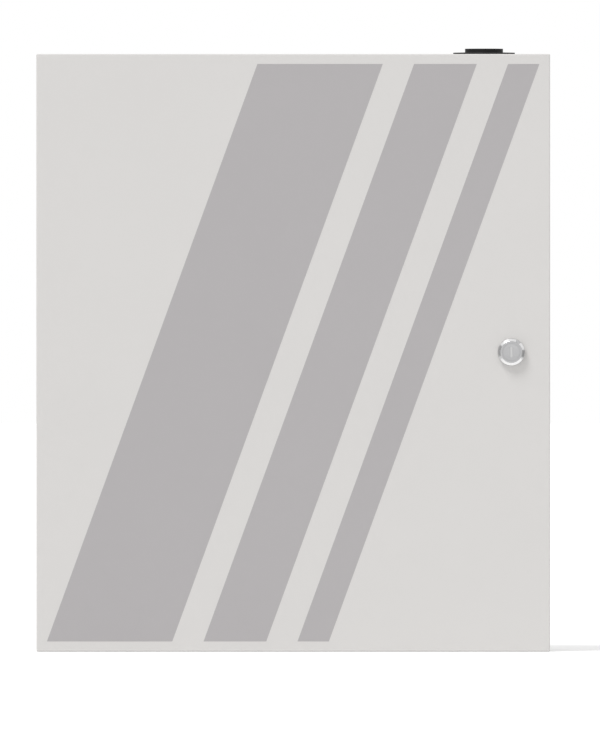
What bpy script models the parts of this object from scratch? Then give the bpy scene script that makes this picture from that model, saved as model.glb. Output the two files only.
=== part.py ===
"""Wall-mounted fire alarm control panel: a folded steel box behind a lockable steel door.

The control board, its power supply and two standby batteries are inside the box.
Units are metres and +Z is up. The door faces -Y, and the origin is the middle of the wall face.
"""

import math

import bmesh
import bpy
from mathutils import Matrix, Vector

# Clearances
SEAT_GAP = 0.0003
RUN_GAP = 0.0001
HOLE_GAP = 0.0003
SWING_GAP = 0.0006
CUT_OVERSHOOT = 0.002

# Enclosure
PANEL_WIDTH = 0.318
PANEL_HEIGHT = 0.370
PANEL_DEPTH = 0.095
SHEET = 0.0012
BEND_RADIUS = 0.0016
FLANGE_WIDTH = 0.014
DOOR_DEPTH = 0.014
DOOR_SWING = math.radians(110)

# Hinges
PIN_RADIUS = 0.0017
PIN_HEAD_RADIUS = 0.0028
PIN_HEAD_LENGTH = 0.0010
LEAF_SHEET = 0.0012
LEAF_BEND_RADIUS = 0.0014
LEAF_EDGE = 0.0008
DOOR_LEAF_LENGTH = 0.016
KNUCKLE_LENGTH = 0.018
KNUCKLE_WRAP = math.radians(290)
HINGE_INSET_Z = 0.062
NOTCH_END_GAP = 0.0012

# Cam lock
LOCK_INSET = 0.024
LOCK_Z = 0.0005
LOCK_HEAD_RADIUS = 0.0086
LOCK_FACE_RADIUS = 0.0066
LOCK_HEAD_LENGTH = 0.0046
LOCK_RIM_LENGTH = 0.0029
BARREL_RADIUS = 0.0070
PLUG_RADIUS = 0.0047
PLUG_HEAD_RADIUS = 0.0054
PLUG_HEAD_LENGTH = 0.0016
PLUG_RECESS = 0.00025
KEYWAY_WIDTH = 0.0013
KEYWAY_HEIGHT = 0.0072
KEYWAY_DEPTH = 0.0090
DRIVE_WIDTH = 0.0056
DRIVE_PROUD = 0.0004
CAM_SHEET = 0.0020
CAM_HALF_WIDTH = 0.0062
CAM_REACH = 0.0185
CAM_GAP = 0.0010
LOCK_NUT_FLATS = 0.0190
LOCK_NUT_LENGTH = 0.0040
CAM_SCREW_RADIUS = 0.0018
CAM_SCREW_LENGTH = 0.0070
CAM_SCREW_HEAD_RADIUS = 0.0044
CAM_SCREW_HEAD_LENGTH = 0.0026

# Cable entries and wall fixings of the box
ENTRY_INSET_X = 0.0405
ENTRY_Y = -0.044
ENTRY_FLANGE_RADIUS = 0.0189
ENTRY_FLANGE_LENGTH = 0.0009
ENTRY_BOSS_RADIUS = 0.0115
ENTRY_BOSS_LENGTH = 0.0037
ENTRY_SKIRT_RADIUS = 0.0130
ENTRY_SKIRT_LENGTH = 0.0090
ENTRY_BARB = 0.0009
ENTRY_BARB_LENGTH = 0.0030
ENTRY_WALL = 0.0014
ENTRIES_PER_WALL = 4
KNOCKOUT_GROOVE = 0.0007
KNOCKOUT_DEPTH = 0.0005
KEYHOLE_RADIUS = 0.0045
KEYHOLE_SLOT_RADIUS = 0.0025
KEYHOLE_LENGTH = 0.0090
KEYHOLE_INSET_X = 0.027
KEYHOLE_INSET_Z = 0.026
KEYHOLE_BATTERY_GAP = 0.028
CABLE_SLOT_LENGTH = 0.050
CABLE_SLOT_HEIGHT = 0.020
CABLE_SLOT_PITCH = 0.066
CABLE_SLOT_BOARD_GAP = 0.046

# Control board
BOARD_WIDTH = 0.240
BOARD_HEIGHT = 0.126
BOARD_SHEET = 0.0016
BOARD_X = -0.013
BOARD_INSET_Z = 0.036
SUPPORT_LENGTH = 0.012
SUPPORT_RADIUS = 0.0030
SUPPORT_FOOT_RADIUS = 0.0045
SUPPORT_FOOT_LENGTH = 0.0020
SUPPORT_NECK_RADIUS = 0.0016
SUPPORT_TIP_RADIUS = 0.0024
SUPPORT_TIP_LENGTH = 0.0030
SUPPORT_INSET = 0.0065
TERMINAL_PITCH = 0.00508
TERMINAL_HEIGHT = 0.0110
TERMINAL_DEPTH = 0.0130
TERMINAL_OVERHANG = 0.0010
TERMINAL_ENTRY = 0.0034
TERMINAL_ENTRY_DEPTH = 0.0060
TERMINAL_SCREW_RADIUS = 0.0019
TERMINAL_SCREW_DEPTH = 0.0035
TERMINAL_EDGE_GAP = 0.014
ZONE_WAYS = 10
OUTPUT_WAYS = 8
POWER_WAYS = 6
RELAY_WIDTH = 0.0155
RELAY_HEIGHT = 0.0190
RELAY_DEPTH = 0.0155
RELAY_PITCH = 0.0200
RELAY_BOARD_Z = 0.032
RELAY_EDGE = 0.0006
CHIP_WIDTH = 0.0140
CHIP_DEPTH = 0.0016
CHIP_BOARD_X = 0.100
CHIP_BOARD_Z = 0.074
BUZZER_RADIUS = 0.0070
BUZZER_LENGTH = 0.0095
BUZZER_HOLE_RADIUS = 0.0011
BUZZER_HOLE_DEPTH = 0.0025
BUZZER_BOARD_X = 0.030
BUZZER_BOARD_Z = 0.050
FUSE_RADIUS = 0.0026
FUSE_LENGTH = 0.0200
FUSE_HOLDER_WIDTH = 0.0260
FUSE_HOLDER_HEIGHT = 0.0090
FUSE_HOLDER_BASE = 0.0030
FUSE_CLIP_LENGTH = 0.0045
FUSE_CLIP_DEPTH = 0.0085
FUSE_LIFT = 0.0006
FUSE_BOARD_X = 0.030
FUSE_BOARD_Z = 0.078
SINK_WIDTH = 0.0250
SINK_HEIGHT = 0.0200
SINK_BASE = 0.0030
SINK_FIN = 0.0013
SINK_FIN_DEPTH = 0.0130
SINK_FINS = 6
SINK_BOARD_X = 0.040
SINK_BOARD_Z = 0.104
LED_RADIUS = 0.0015
LED_RIM_RADIUS = 0.0019
LED_RIM_LENGTH = 0.0010
LED_LENGTH = 0.0050
LED_PITCH = 0.0110
LED_BOARD_X = 0.026
LED_BOARD_Z = 0.110
SWITCH_WIDTH = 0.0120
SWITCH_DEPTH = 0.0045
SWITCH_PITCH = 0.0220
SWITCH_BOARD_X = 0.026
SWITCH_BOARD_Z = 0.088
BUTTON_RADIUS = 0.0048
BUTTON_LENGTH = 0.0032
BUTTON_EDGE = 0.0005
BUTTON_STEM_RADIUS = 0.0020
BUTTON_STEM_INSERT = 0.0016
BUTTON_TRAVEL = 0.0015
BUTTON_SPARE_TRAVEL = 0.0005

# Power supply
SUPPLY_WIDTH = 0.082
SUPPLY_HEIGHT = 0.100
SUPPLY_DEPTH = 0.036
SUPPLY_WALL_GAP = 0.008
SUPPLY_FLOOR_GAP = 0.006
CHASSIS_SHEET = 0.0015
COVER_SHEET = 0.0010
VENT_LENGTH = 0.024
VENT_WIDTH = 0.0030
VENT_PITCH = 0.0085
VENT_ROWS = 7
SUPPLY_TERMINAL_PITCH = 0.0085
SUPPLY_TERMINAL_WAYS = 7
SUPPLY_TERMINAL_DEPTH = 0.0150
SUPPLY_TERMINAL_HEIGHT = 0.0120
SUPPLY_TERMINAL_WELL = 0.0060
SUPPLY_TERMINAL_WELL_DEPTH = 0.0038

# Standby batteries
BATTERY_WIDTH = 0.079
BATTERY_DEPTH = 0.056
BATTERY_CASE_HEIGHT = 0.088
BATTERY_LID_HEIGHT = 0.006
BATTERY_EDGE = 0.0015
BATTERY_PITCH_GAP = 0.0010
BATTERY_WALL_GAP = 0.0160
BLADE_WIDTH = 0.0048
BLADE_SHEET = 0.0008
BLADE_LENGTH = 0.0065
BLADE_INSET_X = 0.013
BLADE_INSET_Y = 0.014
BRACKET_SHEET = 0.0012
BRACKET_WIDTH = 0.018
BRACKET_FOOT = 0.0125
BRACKET_RISE = 0.060
BRACKET_SCREW_RADIUS = 0.0020
BRACKET_SCREW_HEAD_RADIUS = 0.0038
BRACKET_SCREW_HEAD_LENGTH = 0.0026

# Tamper switch
TAMPER_INSET_X = 0.020
TAMPER_Z = 0.110
TAMPER_BODY_WIDTH = 0.012
TAMPER_BODY_HEIGHT = 0.014
TAMPER_BODY_DEPTH = 0.015
TAMPER_ARM_Y = -0.058
TAMPER_FOOT = 0.026
TAMPER_BRACKET_SHEET = 0.0012
TAMPER_BRACKET_HEIGHT = 0.016
PLUNGER_RADIUS = 0.0022
PLUNGER_HEAD_RADIUS = 0.0038
PLUNGER_HEAD_LENGTH = 0.0032
PLUNGER_INSERT = 0.0090
PLUNGER_BORE_DEPTH = 0.0100

# Earth studs and leads
STUD_RADIUS = 0.0025
STUD_LENGTH = 0.0130
STUD_INSET_X = 0.026
STUD_Z = 0.0
STUD_NUT_FLATS = 0.0080
STUD_NUT_LENGTH = 0.0040
STUD_NUT_LIFT = 0.0040
DOOR_STUD_LENGTH = 0.0070
DOOR_STUD_COLLAR_RADIUS = 0.0045
DOOR_STUD_COLLAR_LENGTH = 0.0016
DOOR_STUD_OFFSET = 0.034
LEAD_RADIUS = 0.0011
THIN_LEAD_RADIUS = 0.0008
LEAD_STEP = 0.0065
LEAD_INSERT = 0.0030
LEAD_RISE = 0.007
LEAD_BEND = 0.006
LEAD_SWEEP = 0.026
LEAD_APPROACH = 0.016
LINK_LEAD_RISE = 0.016
BATTERY_LEAD_LEVEL = 0.018
BATTERY_LEAD_STEP_Y = 0.006
BATTERY_LEAD_STEP_Z = 0.008
SUPPLY_LEAD_BOW = 0.010
EARTH_LEAD_LEVEL = 0.020
DOOR_LEAD_SAG = 0.044
TAMPER_LEAD_DROP = 0.022

# Facets
FINE_SIDES = 32
ROUND_SIDES = 24
SMALL_SIDES = 16
BEND_STEPS = 3
CURL_STEPS = 18

# Faces and axes worked out from the sizes above
LEFT = -PANEL_WIDTH / 2
RIGHT = PANEL_WIDTH / 2
TOP = PANEL_HEIGHT / 2
BOTTOM = -PANEL_HEIGHT / 2
HINGE_INSET = SHEET + SEAT_GAP + LEAF_SHEET + RUN_GAP + PIN_RADIUS
DOOR_GAP = math.hypot(HINGE_INSET, DOOR_DEPTH / 2) - DOOR_DEPTH / 2 + SWING_GAP
BOX_DEPTH = PANEL_DEPTH - DOOR_DEPTH - DOOR_GAP
DOOR_FACE = -PANEL_DEPTH
DOOR_INSIDE = DOOR_FACE + SHEET
BOX_FRONT = -BOX_DEPTH
BACK_INSIDE = -SHEET
FLOOR_INSIDE = BOTTOM + SHEET
HINGE_X = LEFT + HINGE_INSET
HINGE_Y = DOOR_FACE + DOOR_DEPTH / 2
LOCK_X = RIGHT - LOCK_INSET
BOARD_LEFT = BOARD_X - BOARD_WIDTH / 2
BOARD_RIGHT = BOARD_X + BOARD_WIDTH / 2
BOARD_TOP = TOP - BOARD_INSET_Z
BOARD_BOTTOM = BOARD_TOP - BOARD_HEIGHT
BOARD_REAR = BACK_INSIDE - SUPPORT_LENGTH
BOARD_FRONT = BOARD_REAR - BOARD_SHEET
BOARD_SEAT = BOARD_FRONT - SEAT_GAP
BATTERY_LEFT = LEFT + SHEET + BATTERY_WALL_GAP
BATTERY_RIGHT = BATTERY_LEFT + 2 * BATTERY_WIDTH + BATTERY_PITCH_GAP
BATTERY_FLOOR = FLOOR_INSIDE + SEAT_GAP
BATTERY_LID_FLOOR = BATTERY_FLOOR + BATTERY_CASE_HEIGHT + SEAT_GAP
BATTERY_TOP = BATTERY_LID_FLOOR + BATTERY_LID_HEIGHT
BATTERY_Y = BACK_INSIDE - SEAT_GAP - BATTERY_DEPTH / 2
BLADE_Y = BATTERY_Y - BATTERY_DEPTH / 2 + BLADE_INSET_Y
SUPPLY_RIGHT = RIGHT - SHEET - SUPPLY_WALL_GAP
SUPPLY_X = SUPPLY_RIGHT - SUPPLY_WIDTH / 2
SUPPLY_FLOOR = FLOOR_INSIDE + SUPPLY_FLOOR_GAP
SUPPLY_TOP = SUPPLY_FLOOR + SUPPLY_HEIGHT
SUPPLY_COVER_TOP = SUPPLY_TOP - SUPPLY_TERMINAL_HEIGHT - SEAT_GAP
SUPPLY_REAR = BACK_INSIDE - SEAT_GAP
SUPPLY_SHELF = SUPPLY_REAR - CHASSIS_SHEET - SEAT_GAP
TAMPER_X = RIGHT - TAMPER_INSET_X
TAMPER_BODY_REAR = TAMPER_ARM_Y - TAMPER_BRACKET_SHEET / 2 - SEAT_GAP
TAMPER_BODY_FRONT = TAMPER_BODY_REAR - TAMPER_BODY_DEPTH
STUD_X = LEFT + STUD_INSET_X

FACING_FRONT = (math.pi / 2, 0, 0)


def finish(name, colour, roughness, metallic=0.0):
    """A material with one colour."""
    material = bpy.data.materials.new(name)
    material.use_nodes = True
    material.diffuse_color = (*colour, 1.0)
    shader = material.node_tree.nodes["Principled BSDF"]
    shader.inputs["Base Color"].default_value = (*colour, 1.0)
    shader.inputs["Roughness"].default_value = roughness
    shader.inputs["Metallic"].default_value = metallic
    return material


def clear_scene():
    """Removes whatever the scene holds."""
    for thing in list(bpy.data.objects):
        bpy.data.objects.remove(thing)


def new_collection(name):
    """A collection in the scene."""
    collection = bpy.data.collections.new(name)
    bpy.context.scene.collection.children.link(collection)
    return collection


clear_scene()
PARTS = new_collection("fire_alarm_control_panel")
CUTTERS = new_collection("cutters")
PAINT = finish("powder_coated_steel", (0.69, 0.68, 0.67), 0.45)
ZINC = finish("zinc_plated_steel", (0.62, 0.62, 0.60), 0.35, 1.0)
CHROME = finish("chromed_die_casting", (0.60, 0.60, 0.61), 0.15, 1.0)
ALUMINIUM = finish("bare_aluminium", (0.72, 0.73, 0.74), 0.40, 1.0)
BLACK_PLASTIC = finish("black_plastic", (0.018, 0.018, 0.018), 0.50)
NYLON = finish("natural_nylon", (0.80, 0.78, 0.70), 0.45)
LAMINATE = finish("green_laminate", (0.02, 0.16, 0.06), 0.40)
GREEN_PLASTIC = finish("green_terminal_plastic", (0.05, 0.30, 0.13), 0.45)
BLUE_PLASTIC = finish("blue_relay_plastic", (0.03, 0.12, 0.40), 0.40)
GREY_PLASTIC = finish("grey_battery_plastic", (0.11, 0.11, 0.12), 0.55)
CLEAR_GLASS = finish("fuse_glass", (0.80, 0.82, 0.80), 0.10)
RED_PLASTIC = finish("red_plastic", (0.55, 0.03, 0.02), 0.40)
AMBER_PLASTIC = finish("amber_plastic", (0.70, 0.30, 0.02), 0.35)
LAMP_GREEN_PLASTIC = finish("lamp_green_plastic", (0.05, 0.45, 0.08), 0.35)
EARTH_PLASTIC = finish("green_yellow_insulation", (0.30, 0.42, 0.05), 0.50)


def world_place(thing):
    """The world location of an object whose parents are not turned."""
    place = Vector((0, 0, 0))
    while thing is not None:
        place += thing.location
        thing = thing.parent
    return place


def link(name, data, place, material=None, parent=None, turn=(0, 0, 0)):
    """Adds an object to the parts at a world place."""
    thing = bpy.data.objects.new(name, data)
    thing.location = Vector(place) - world_place(parent)
    thing.rotation_euler = turn
    thing.parent = parent
    if material is not None:
        data.materials.append(material)
    PARTS.objects.link(thing)
    return thing


def axis_empty(name, place, parent=None):
    """An empty on a joint's axis, which carries the pieces that move with it."""
    return link(name, None, place, parent=parent)


def make_helper(thing):
    """Turns a part into a cutter or another helper that is not part of the object."""
    PARTS.objects.unlink(thing)
    CUTTERS.objects.link(thing)
    thing.hide_render = True
    thing.display_type = "WIRE"
    return thing


def combine(target, helper, operation):
    """Cuts a helper from a target, or joins it to the target."""
    modifier = target.modifiers.new(helper.name, "BOOLEAN")
    modifier.operation = operation
    modifier.object = make_helper(helper)
    return target


def cut(target, *helpers):
    """Takes each helper's shape out of a target."""
    for helper in helpers:
        combine(target, helper, "DIFFERENCE")
    return target


def join(target, *helpers):
    """Adds each helper's shape to a target."""
    for helper in helpers:
        combine(target, helper, "UNION")
    return target


def mesh_of(name, fill):
    """The mesh that a function adds to an empty bmesh."""
    shape = bmesh.new()
    fill(shape)
    bmesh.ops.recalc_face_normals(shape, faces=shape.faces)
    mesh = bpy.data.meshes.new(name)
    shape.to_mesh(mesh)
    shape.free()
    return mesh


def add_box(shape, size, centre=(0, 0, 0)):
    """Adds a box to a bmesh."""
    placed = Matrix.LocRotScale(Vector(centre), None, Vector(size))
    bmesh.ops.create_cube(shape, size=1.0, matrix=placed)


def add_rod(shape, radius, length, centre=(0, 0, 0), sides=SMALL_SIDES):
    """Adds an upright cylinder to a bmesh."""
    bmesh.ops.create_cone(
        shape,
        cap_ends=True,
        segments=sides,
        radius1=radius,
        radius2=radius,
        depth=length,
        matrix=Matrix.Translation(Vector(centre)),
    )


def box(name, size, place, material=None, parent=None, edge=0.0):
    """A box, with its edges rounded where an edge radius is given."""
    made = link(name, mesh_of(name, lambda shape: add_box(shape, size)), place, material, parent)
    if edge:
        bevel = made.modifiers.new("edges", "BEVEL")
        bevel.width = edge
        bevel.segments = 2
    return made


def boxes(name, size, places):
    """Boxes of one size in one mesh, used as one cutter."""

    def fill(shape):
        for place in places:
            add_box(shape, size, place)

    return link(name, mesh_of(name, fill), (0, 0, 0))


def rods(name, radius, length, places, turn=(0, 0, 0), sides=SMALL_SIDES):
    """Cylinders of one size in one mesh, used as one cutter. Each runs along the turned Z axis."""
    back = Matrix.Rotation(-turn[0], 3, "X")

    def fill(shape):
        for place in places:
            add_rod(shape, radius, length, back @ Vector(place), sides)

    return link(name, mesh_of(name, fill), (0, 0, 0), turn=turn)


def turned(name, profile, place, material=None, parent=None, turn=(0, 0, 0), sides=ROUND_SIDES, ring=False):
    """A profile of radius and height, spun about Z. It runs down its outer side, and a ring's profile is closed."""
    mesh = bpy.data.meshes.new(name)
    points = [(radius, 0, height) for radius, height in profile]
    edges = [(i, i + 1) for i in range(len(points) - 1)]
    if ring:
        edges.append((len(points) - 1, 0))
    mesh.from_pydata(points, edges, [])
    made = link(name, mesh, place, material, parent, turn)
    screw = made.modifiers.new("turn", "SCREW")
    screw.steps = sides
    screw.render_steps = sides
    screw.use_merge_vertices = True
    screw.merge_threshold = 0.00001
    screw.use_smooth_shade = True
    return made


def plate(name, outlines, thickness, place, material=None, parent=None, turn=(0, 0, 0)):
    """Flat outlines with their holes, extruded evenly to both sides of their plane."""
    curve = bpy.data.curves.new(name, "CURVE")
    curve.dimensions = "2D"
    curve.fill_mode = "BOTH"
    curve.extrude = thickness / 2
    for outline in outlines:
        spline = curve.splines.new("POLY")
        spline.points.add(len(outline) - 1)
        for point, (x, y) in zip(spline.points, outline):
            point.co = (x, y, 0, 1)
        spline.use_cyclic_u = True
    return link(name, curve, place, material, parent, turn)


def as_mesh(thing):
    """A curve object made into a closed mesh object of the same name and place."""
    bpy.context.view_layer.update()
    graph = bpy.context.evaluated_depsgraph_get()
    mesh = bpy.data.meshes.new_from_object(thing.evaluated_get(graph))
    shape = bmesh.new()
    shape.from_mesh(mesh)
    bmesh.ops.remove_doubles(shape, verts=shape.verts, dist=0.000001)
    bmesh.ops.recalc_face_normals(shape, faces=shape.faces)
    shape.to_mesh(mesh)
    shape.free()
    name, parent = thing.name, thing.parent
    place, turn = world_place(thing), thing.rotation_euler.copy()
    bpy.data.objects.remove(thing)
    return link(name, mesh, place, parent=parent, turn=turn)


def solid_plate(*args, **options):
    """A plate that can be cut, or used as a cutter."""
    return as_mesh(plate(*args, **options))


def circle(radius, centre=(0, 0), sides=ROUND_SIDES, start=0.0, sweep=2 * math.pi):
    """Points round a circle, or along an arc of it when the sweep is shorter."""
    whole = math.isclose(abs(sweep), 2 * math.pi)
    count = sides if whole else sides + 1
    return [
        (
            centre[0] + radius * math.cos(start + sweep * i / sides),
            centre[1] + radius * math.sin(start + sweep * i / sides),
        )
        for i in range(count)
    ]


def rectangle(width, height, centre=(0, 0)):
    """The corners of a rectangle."""
    x, y = width / 2, height / 2
    return [(centre[0] + dx, centre[1] + dy) for dx, dy in ((-x, -y), (x, -y), (x, y), (-x, y))]


def obround(length, height, centre):
    """A slot outline with round ends, lying along X."""
    radius = height / 2
    reach = length / 2 - radius
    right = circle(radius, (centre[0] + reach, centre[1]), SMALL_SIDES // 2, -math.pi / 2, math.pi)
    left = circle(radius, (centre[0] - reach, centre[1]), SMALL_SIDES // 2, math.pi / 2, math.pi)
    return right + left


def keyhole(centre):
    """A round hole for a screw head, with a slot above it for the shank."""
    x, z = centre
    lean = math.asin(KEYHOLE_SLOT_RADIUS / KEYHOLE_RADIUS)
    head = circle(KEYHOLE_RADIUS, (x, z), SMALL_SIDES, math.pi / 2 + lean, 2 * math.pi - 2 * lean)
    neck = circle(KEYHOLE_SLOT_RADIUS, (x, z + KEYHOLE_LENGTH), SMALL_SIDES // 2, 0.0, math.pi)
    return head + neck


def hexagon(across_flats):
    """The corners of a hexagon."""
    return circle(across_flats / 2 / math.cos(math.pi / 6), sides=6)


def rounded_path(corners, radius):
    """Straight runs between corners, with each inner corner turned into an arc."""
    corners = [Vector(corner) for corner in corners]
    points = [corners[0]]
    for before, corner, after in zip(corners, corners[1:], corners[2:]):
        back = (before - corner).normalized()
        ahead = (after - corner).normalized()
        half = back.angle(ahead) / 2
        centre = corner + (back + ahead).normalized() * (radius / math.sin(half))
        spoke = corner + back * (radius / math.tan(half)) - centre
        side = back.y * ahead.x - back.x * ahead.y
        turn = math.copysign(math.pi - 2 * half, side)
        for step in range(BEND_STEPS + 1):
            points.append(centre + Matrix.Rotation(turn * step / BEND_STEPS, 2) @ spoke)
    return points + [corners[-1]]


def strip_outline(path, thickness):
    """Both sides of a strip of sheet that follows a path, as one closed outline."""
    path = [Vector(point) for point in path]
    runs = [(after - before).normalized() for before, after in zip(path, path[1:])]
    left, right = [], []
    for point, arriving, leaving in zip(path, [runs[0]] + runs, runs + [runs[-1]]):
        along = (arriving + leaving).normalized()
        across = Vector((-along.y, along.x))
        half = thickness / 2 / along.dot(arriving)
        left.append(point + across * half)
        right.append(point - across * half)
    return right + left[::-1]


def smooth_route(points, step):
    """Points about a step apart on a smooth curve through the given points."""
    points = [Vector(point) for point in points]
    ends = [2 * points[0] - points[1], 2 * points[-1] - points[-2]]
    padded = ends[:1] + points + ends[1:]
    route = []
    for a, b, c, d in zip(padded, padded[1:], padded[2:], padded[3:]):
        count = max(2, round((c - b).length / step))
        for i in range(count):
            t = i / count
            bend = (c - a) * t + (2 * a - 5 * b + 4 * c - d) * t**2 + (3 * b - a - 3 * c + d) * t**3
            route.append(b + bend / 2)
    return route + [points[-1]]


def lead(name, points, material, radius=LEAD_RADIUS):
    """An insulated wire along a smooth route."""
    curve = bpy.data.curves.new(name, "CURVE")
    curve.dimensions = "3D"
    curve.bevel_depth = radius
    curve.bevel_resolution = 2
    curve.use_fill_caps = True
    route = smooth_route(points, LEAD_STEP)
    spline = curve.splines.new("POLY")
    spline.points.add(len(route) - 1)
    for point, place in zip(spline.points, route):
        point.co = (*place, 1)
    return link(name, curve, (0, 0, 0), material)


def fold_sheet(shell, thickness):
    """Gives an open surface its bends and its sheet thickness, measured inwards."""
    bevel = shell.modifiers.new("bends", "BEVEL")
    bevel.width = BEND_RADIUS
    bevel.segments = BEND_STEPS
    solid = shell.modifiers.new("sheet", "SOLIDIFY")
    solid.thickness = thickness
    solid.offset = -1
    solid.use_even_offset = True
    return shell


def entry_places():
    """The places of the round cable entries along the top and the bottom wall."""
    reach = RIGHT - ENTRY_INSET_X
    return [reach * (2 * i / (ENTRIES_PER_WALL - 1) - 1) for i in range(ENTRIES_PER_WALL)]


def knockout(name, entries, z):
    """Ring grooves that leave round discs to be knocked out of a wall."""
    rings = []
    outer = ENTRY_SKIRT_RADIUS + HOLE_GAP
    for x in entries:
        rings.append(circle(outer, (x, ENTRY_Y)))
        rings.append(circle(outer - KNOCKOUT_GROOVE, (x, ENTRY_Y)))
    return solid_plate(name, rings, 2 * KNOCKOUT_DEPTH, (0, 0, z))


def bracket_screw_places():
    """The wall places of the two screws that hold the battery bracket."""
    z = BATTERY_FLOOR + BRACKET_RISE
    reach = SEAT_GAP + BRACKET_SHEET + BRACKET_FOOT / 2
    return [(BATTERY_LEFT - reach, z), (BATTERY_RIGHT + reach, z)]


def build_back_box():
    """The folded box: back, four walls and a flange round the front opening."""

    def shell(shape):
        add_box(shape, (PANEL_WIDTH, BOX_DEPTH, PANEL_HEIGHT), (0, -BOX_DEPTH / 2, 0))
        front = min(shape.faces, key=lambda face: face.calc_center_median().y)
        bmesh.ops.inset_region(shape, faces=[front], thickness=FLANGE_WIDTH)
        bmesh.ops.delete(shape, geom=[front], context="FACES")

    made = fold_sheet(link("back_box", mesh_of("back_box", shell), (0, 0, 0), PAINT), SHEET)
    through = 2 * (SHEET + CUT_OVERSHOOT)
    *blanks, used = entry_places()
    hole = circle(ENTRY_SKIRT_RADIUS + HOLE_GAP, (used, ENTRY_Y))
    cut(made, solid_plate("entry_hole", [hole], through, (0, 0, TOP)))
    cut(made, knockout("top_knockouts", blanks, TOP))
    cut(made, knockout("bottom_knockouts", entry_places(), BOTTOM))

    low = BATTERY_TOP + KEYHOLE_BATTERY_GAP
    high = TOP - KEYHOLE_INSET_Z
    reach = RIGHT - KEYHOLE_INSET_X
    wall_holes = [keyhole((x, z)) for x in (-reach, reach) for z in (low, high)]
    slot_z = BOARD_BOTTOM - CABLE_SLOT_BOARD_GAP
    for x in (BOARD_X - CABLE_SLOT_PITCH / 2, BOARD_X + CABLE_SLOT_PITCH / 2):
        wall_holes.append(obround(CABLE_SLOT_LENGTH, CABLE_SLOT_HEIGHT, (x, slot_z)))
    for place in bracket_screw_places():
        wall_holes.append(circle(BRACKET_SCREW_RADIUS + HOLE_GAP, place, SMALL_SIDES))
    cut(made, solid_plate("wall_holes", wall_holes, through, (0, 0, 0), turn=FACING_FRONT))


def build_entry_plug():
    """The black plug that closes the one open cable entry in the top wall."""
    inner_face = -SHEET - SEAT_GAP
    bore = ENTRY_SKIRT_RADIUS - ENTRY_WALL
    boss_bore = ENTRY_BOSS_RADIUS - ENTRY_WALL
    profile = [
        (0, ENTRY_BOSS_LENGTH),
        (ENTRY_BOSS_RADIUS, ENTRY_BOSS_LENGTH),
        (ENTRY_BOSS_RADIUS, SEAT_GAP + ENTRY_FLANGE_LENGTH),
        (ENTRY_FLANGE_RADIUS, SEAT_GAP + ENTRY_FLANGE_LENGTH),
        (ENTRY_FLANGE_RADIUS, SEAT_GAP),
        (ENTRY_SKIRT_RADIUS, SEAT_GAP),
        (ENTRY_SKIRT_RADIUS, inner_face),
        (ENTRY_SKIRT_RADIUS + ENTRY_BARB, inner_face - ENTRY_BARB / 2),
        (ENTRY_SKIRT_RADIUS, inner_face - ENTRY_BARB_LENGTH),
        (ENTRY_SKIRT_RADIUS, -ENTRY_SKIRT_LENGTH),
        (bore, -ENTRY_SKIRT_LENGTH),
        (bore, inner_face),
        (boss_bore, inner_face),
        (boss_bore, ENTRY_BOSS_LENGTH - ENTRY_WALL),
        (0, ENTRY_BOSS_LENGTH - ENTRY_WALL),
    ]
    turned("cable_entry_plug", profile, (entry_places()[-1], ENTRY_Y, TOP), BLACK_PLASTIC, sides=FINE_SIDES)


def hinge_heights():
    """The height of the joint between the two knuckles of each hinge, by the hinge's name."""
    reach = TOP - HINGE_INSET_Z
    return {"upper": reach, "lower": -reach}


def curl(start):
    """The middle line of a leaf rolled round the pin, clockwise from a start angle."""
    radius = PIN_RADIUS + RUN_GAP + LEAF_SHEET / 2
    return circle(radius, (0, 0), CURL_STEPS, start, -KNUCKLE_WRAP)


def build_door(axis):
    """The door tray, with its lock hole and a notch at each hinge."""

    def shell(shape):
        add_box(shape, (PANEL_WIDTH, DOOR_DEPTH, PANEL_HEIGHT))
        rear = max(shape.faces, key=lambda face: face.calc_center_median().y)
        bmesh.ops.delete(shape, geom=[rear], context="FACES")

    middle = (0, DOOR_FACE + DOOR_DEPTH / 2, 0)
    made = fold_sheet(link("door", mesh_of("door", shell), middle, PAINT, axis), SHEET)
    hole = (LOCK_X, DOOR_FACE, LOCK_Z)
    through = 2 * (SHEET + CUT_OVERSHOOT)
    cut(made, rods("lock_hole", BARREL_RADIUS + HOLE_GAP, through, [hole], FACING_FRONT, ROUND_SIDES))

    tab_inside = PIN_RADIUS + RUN_GAP
    swept = HINGE_INSET * abs(math.cos(DOOR_SWING))
    notch_front = HINGE_Y + (tab_inside - SWING_GAP - swept) / math.sin(DOOR_SWING)
    notch_rear = DOOR_FACE + DOOR_DEPTH + CUT_OVERSHOOT
    height = KNUCKLE_LENGTH + PIN_HEAD_LENGTH + 2 * NOTCH_END_GAP
    notch = (2 * (SHEET + SEAT_GAP / 2), notch_rear - notch_front, height)
    lowered = KNUCKLE_LENGTH + PIN_HEAD_LENGTH
    places = [
        (LEFT, (notch_rear + notch_front) / 2, z - lowered / 2)
        for z in hinge_heights().values()
    ]
    cut(made, boxes("hinge_notches", notch, places))


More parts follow.
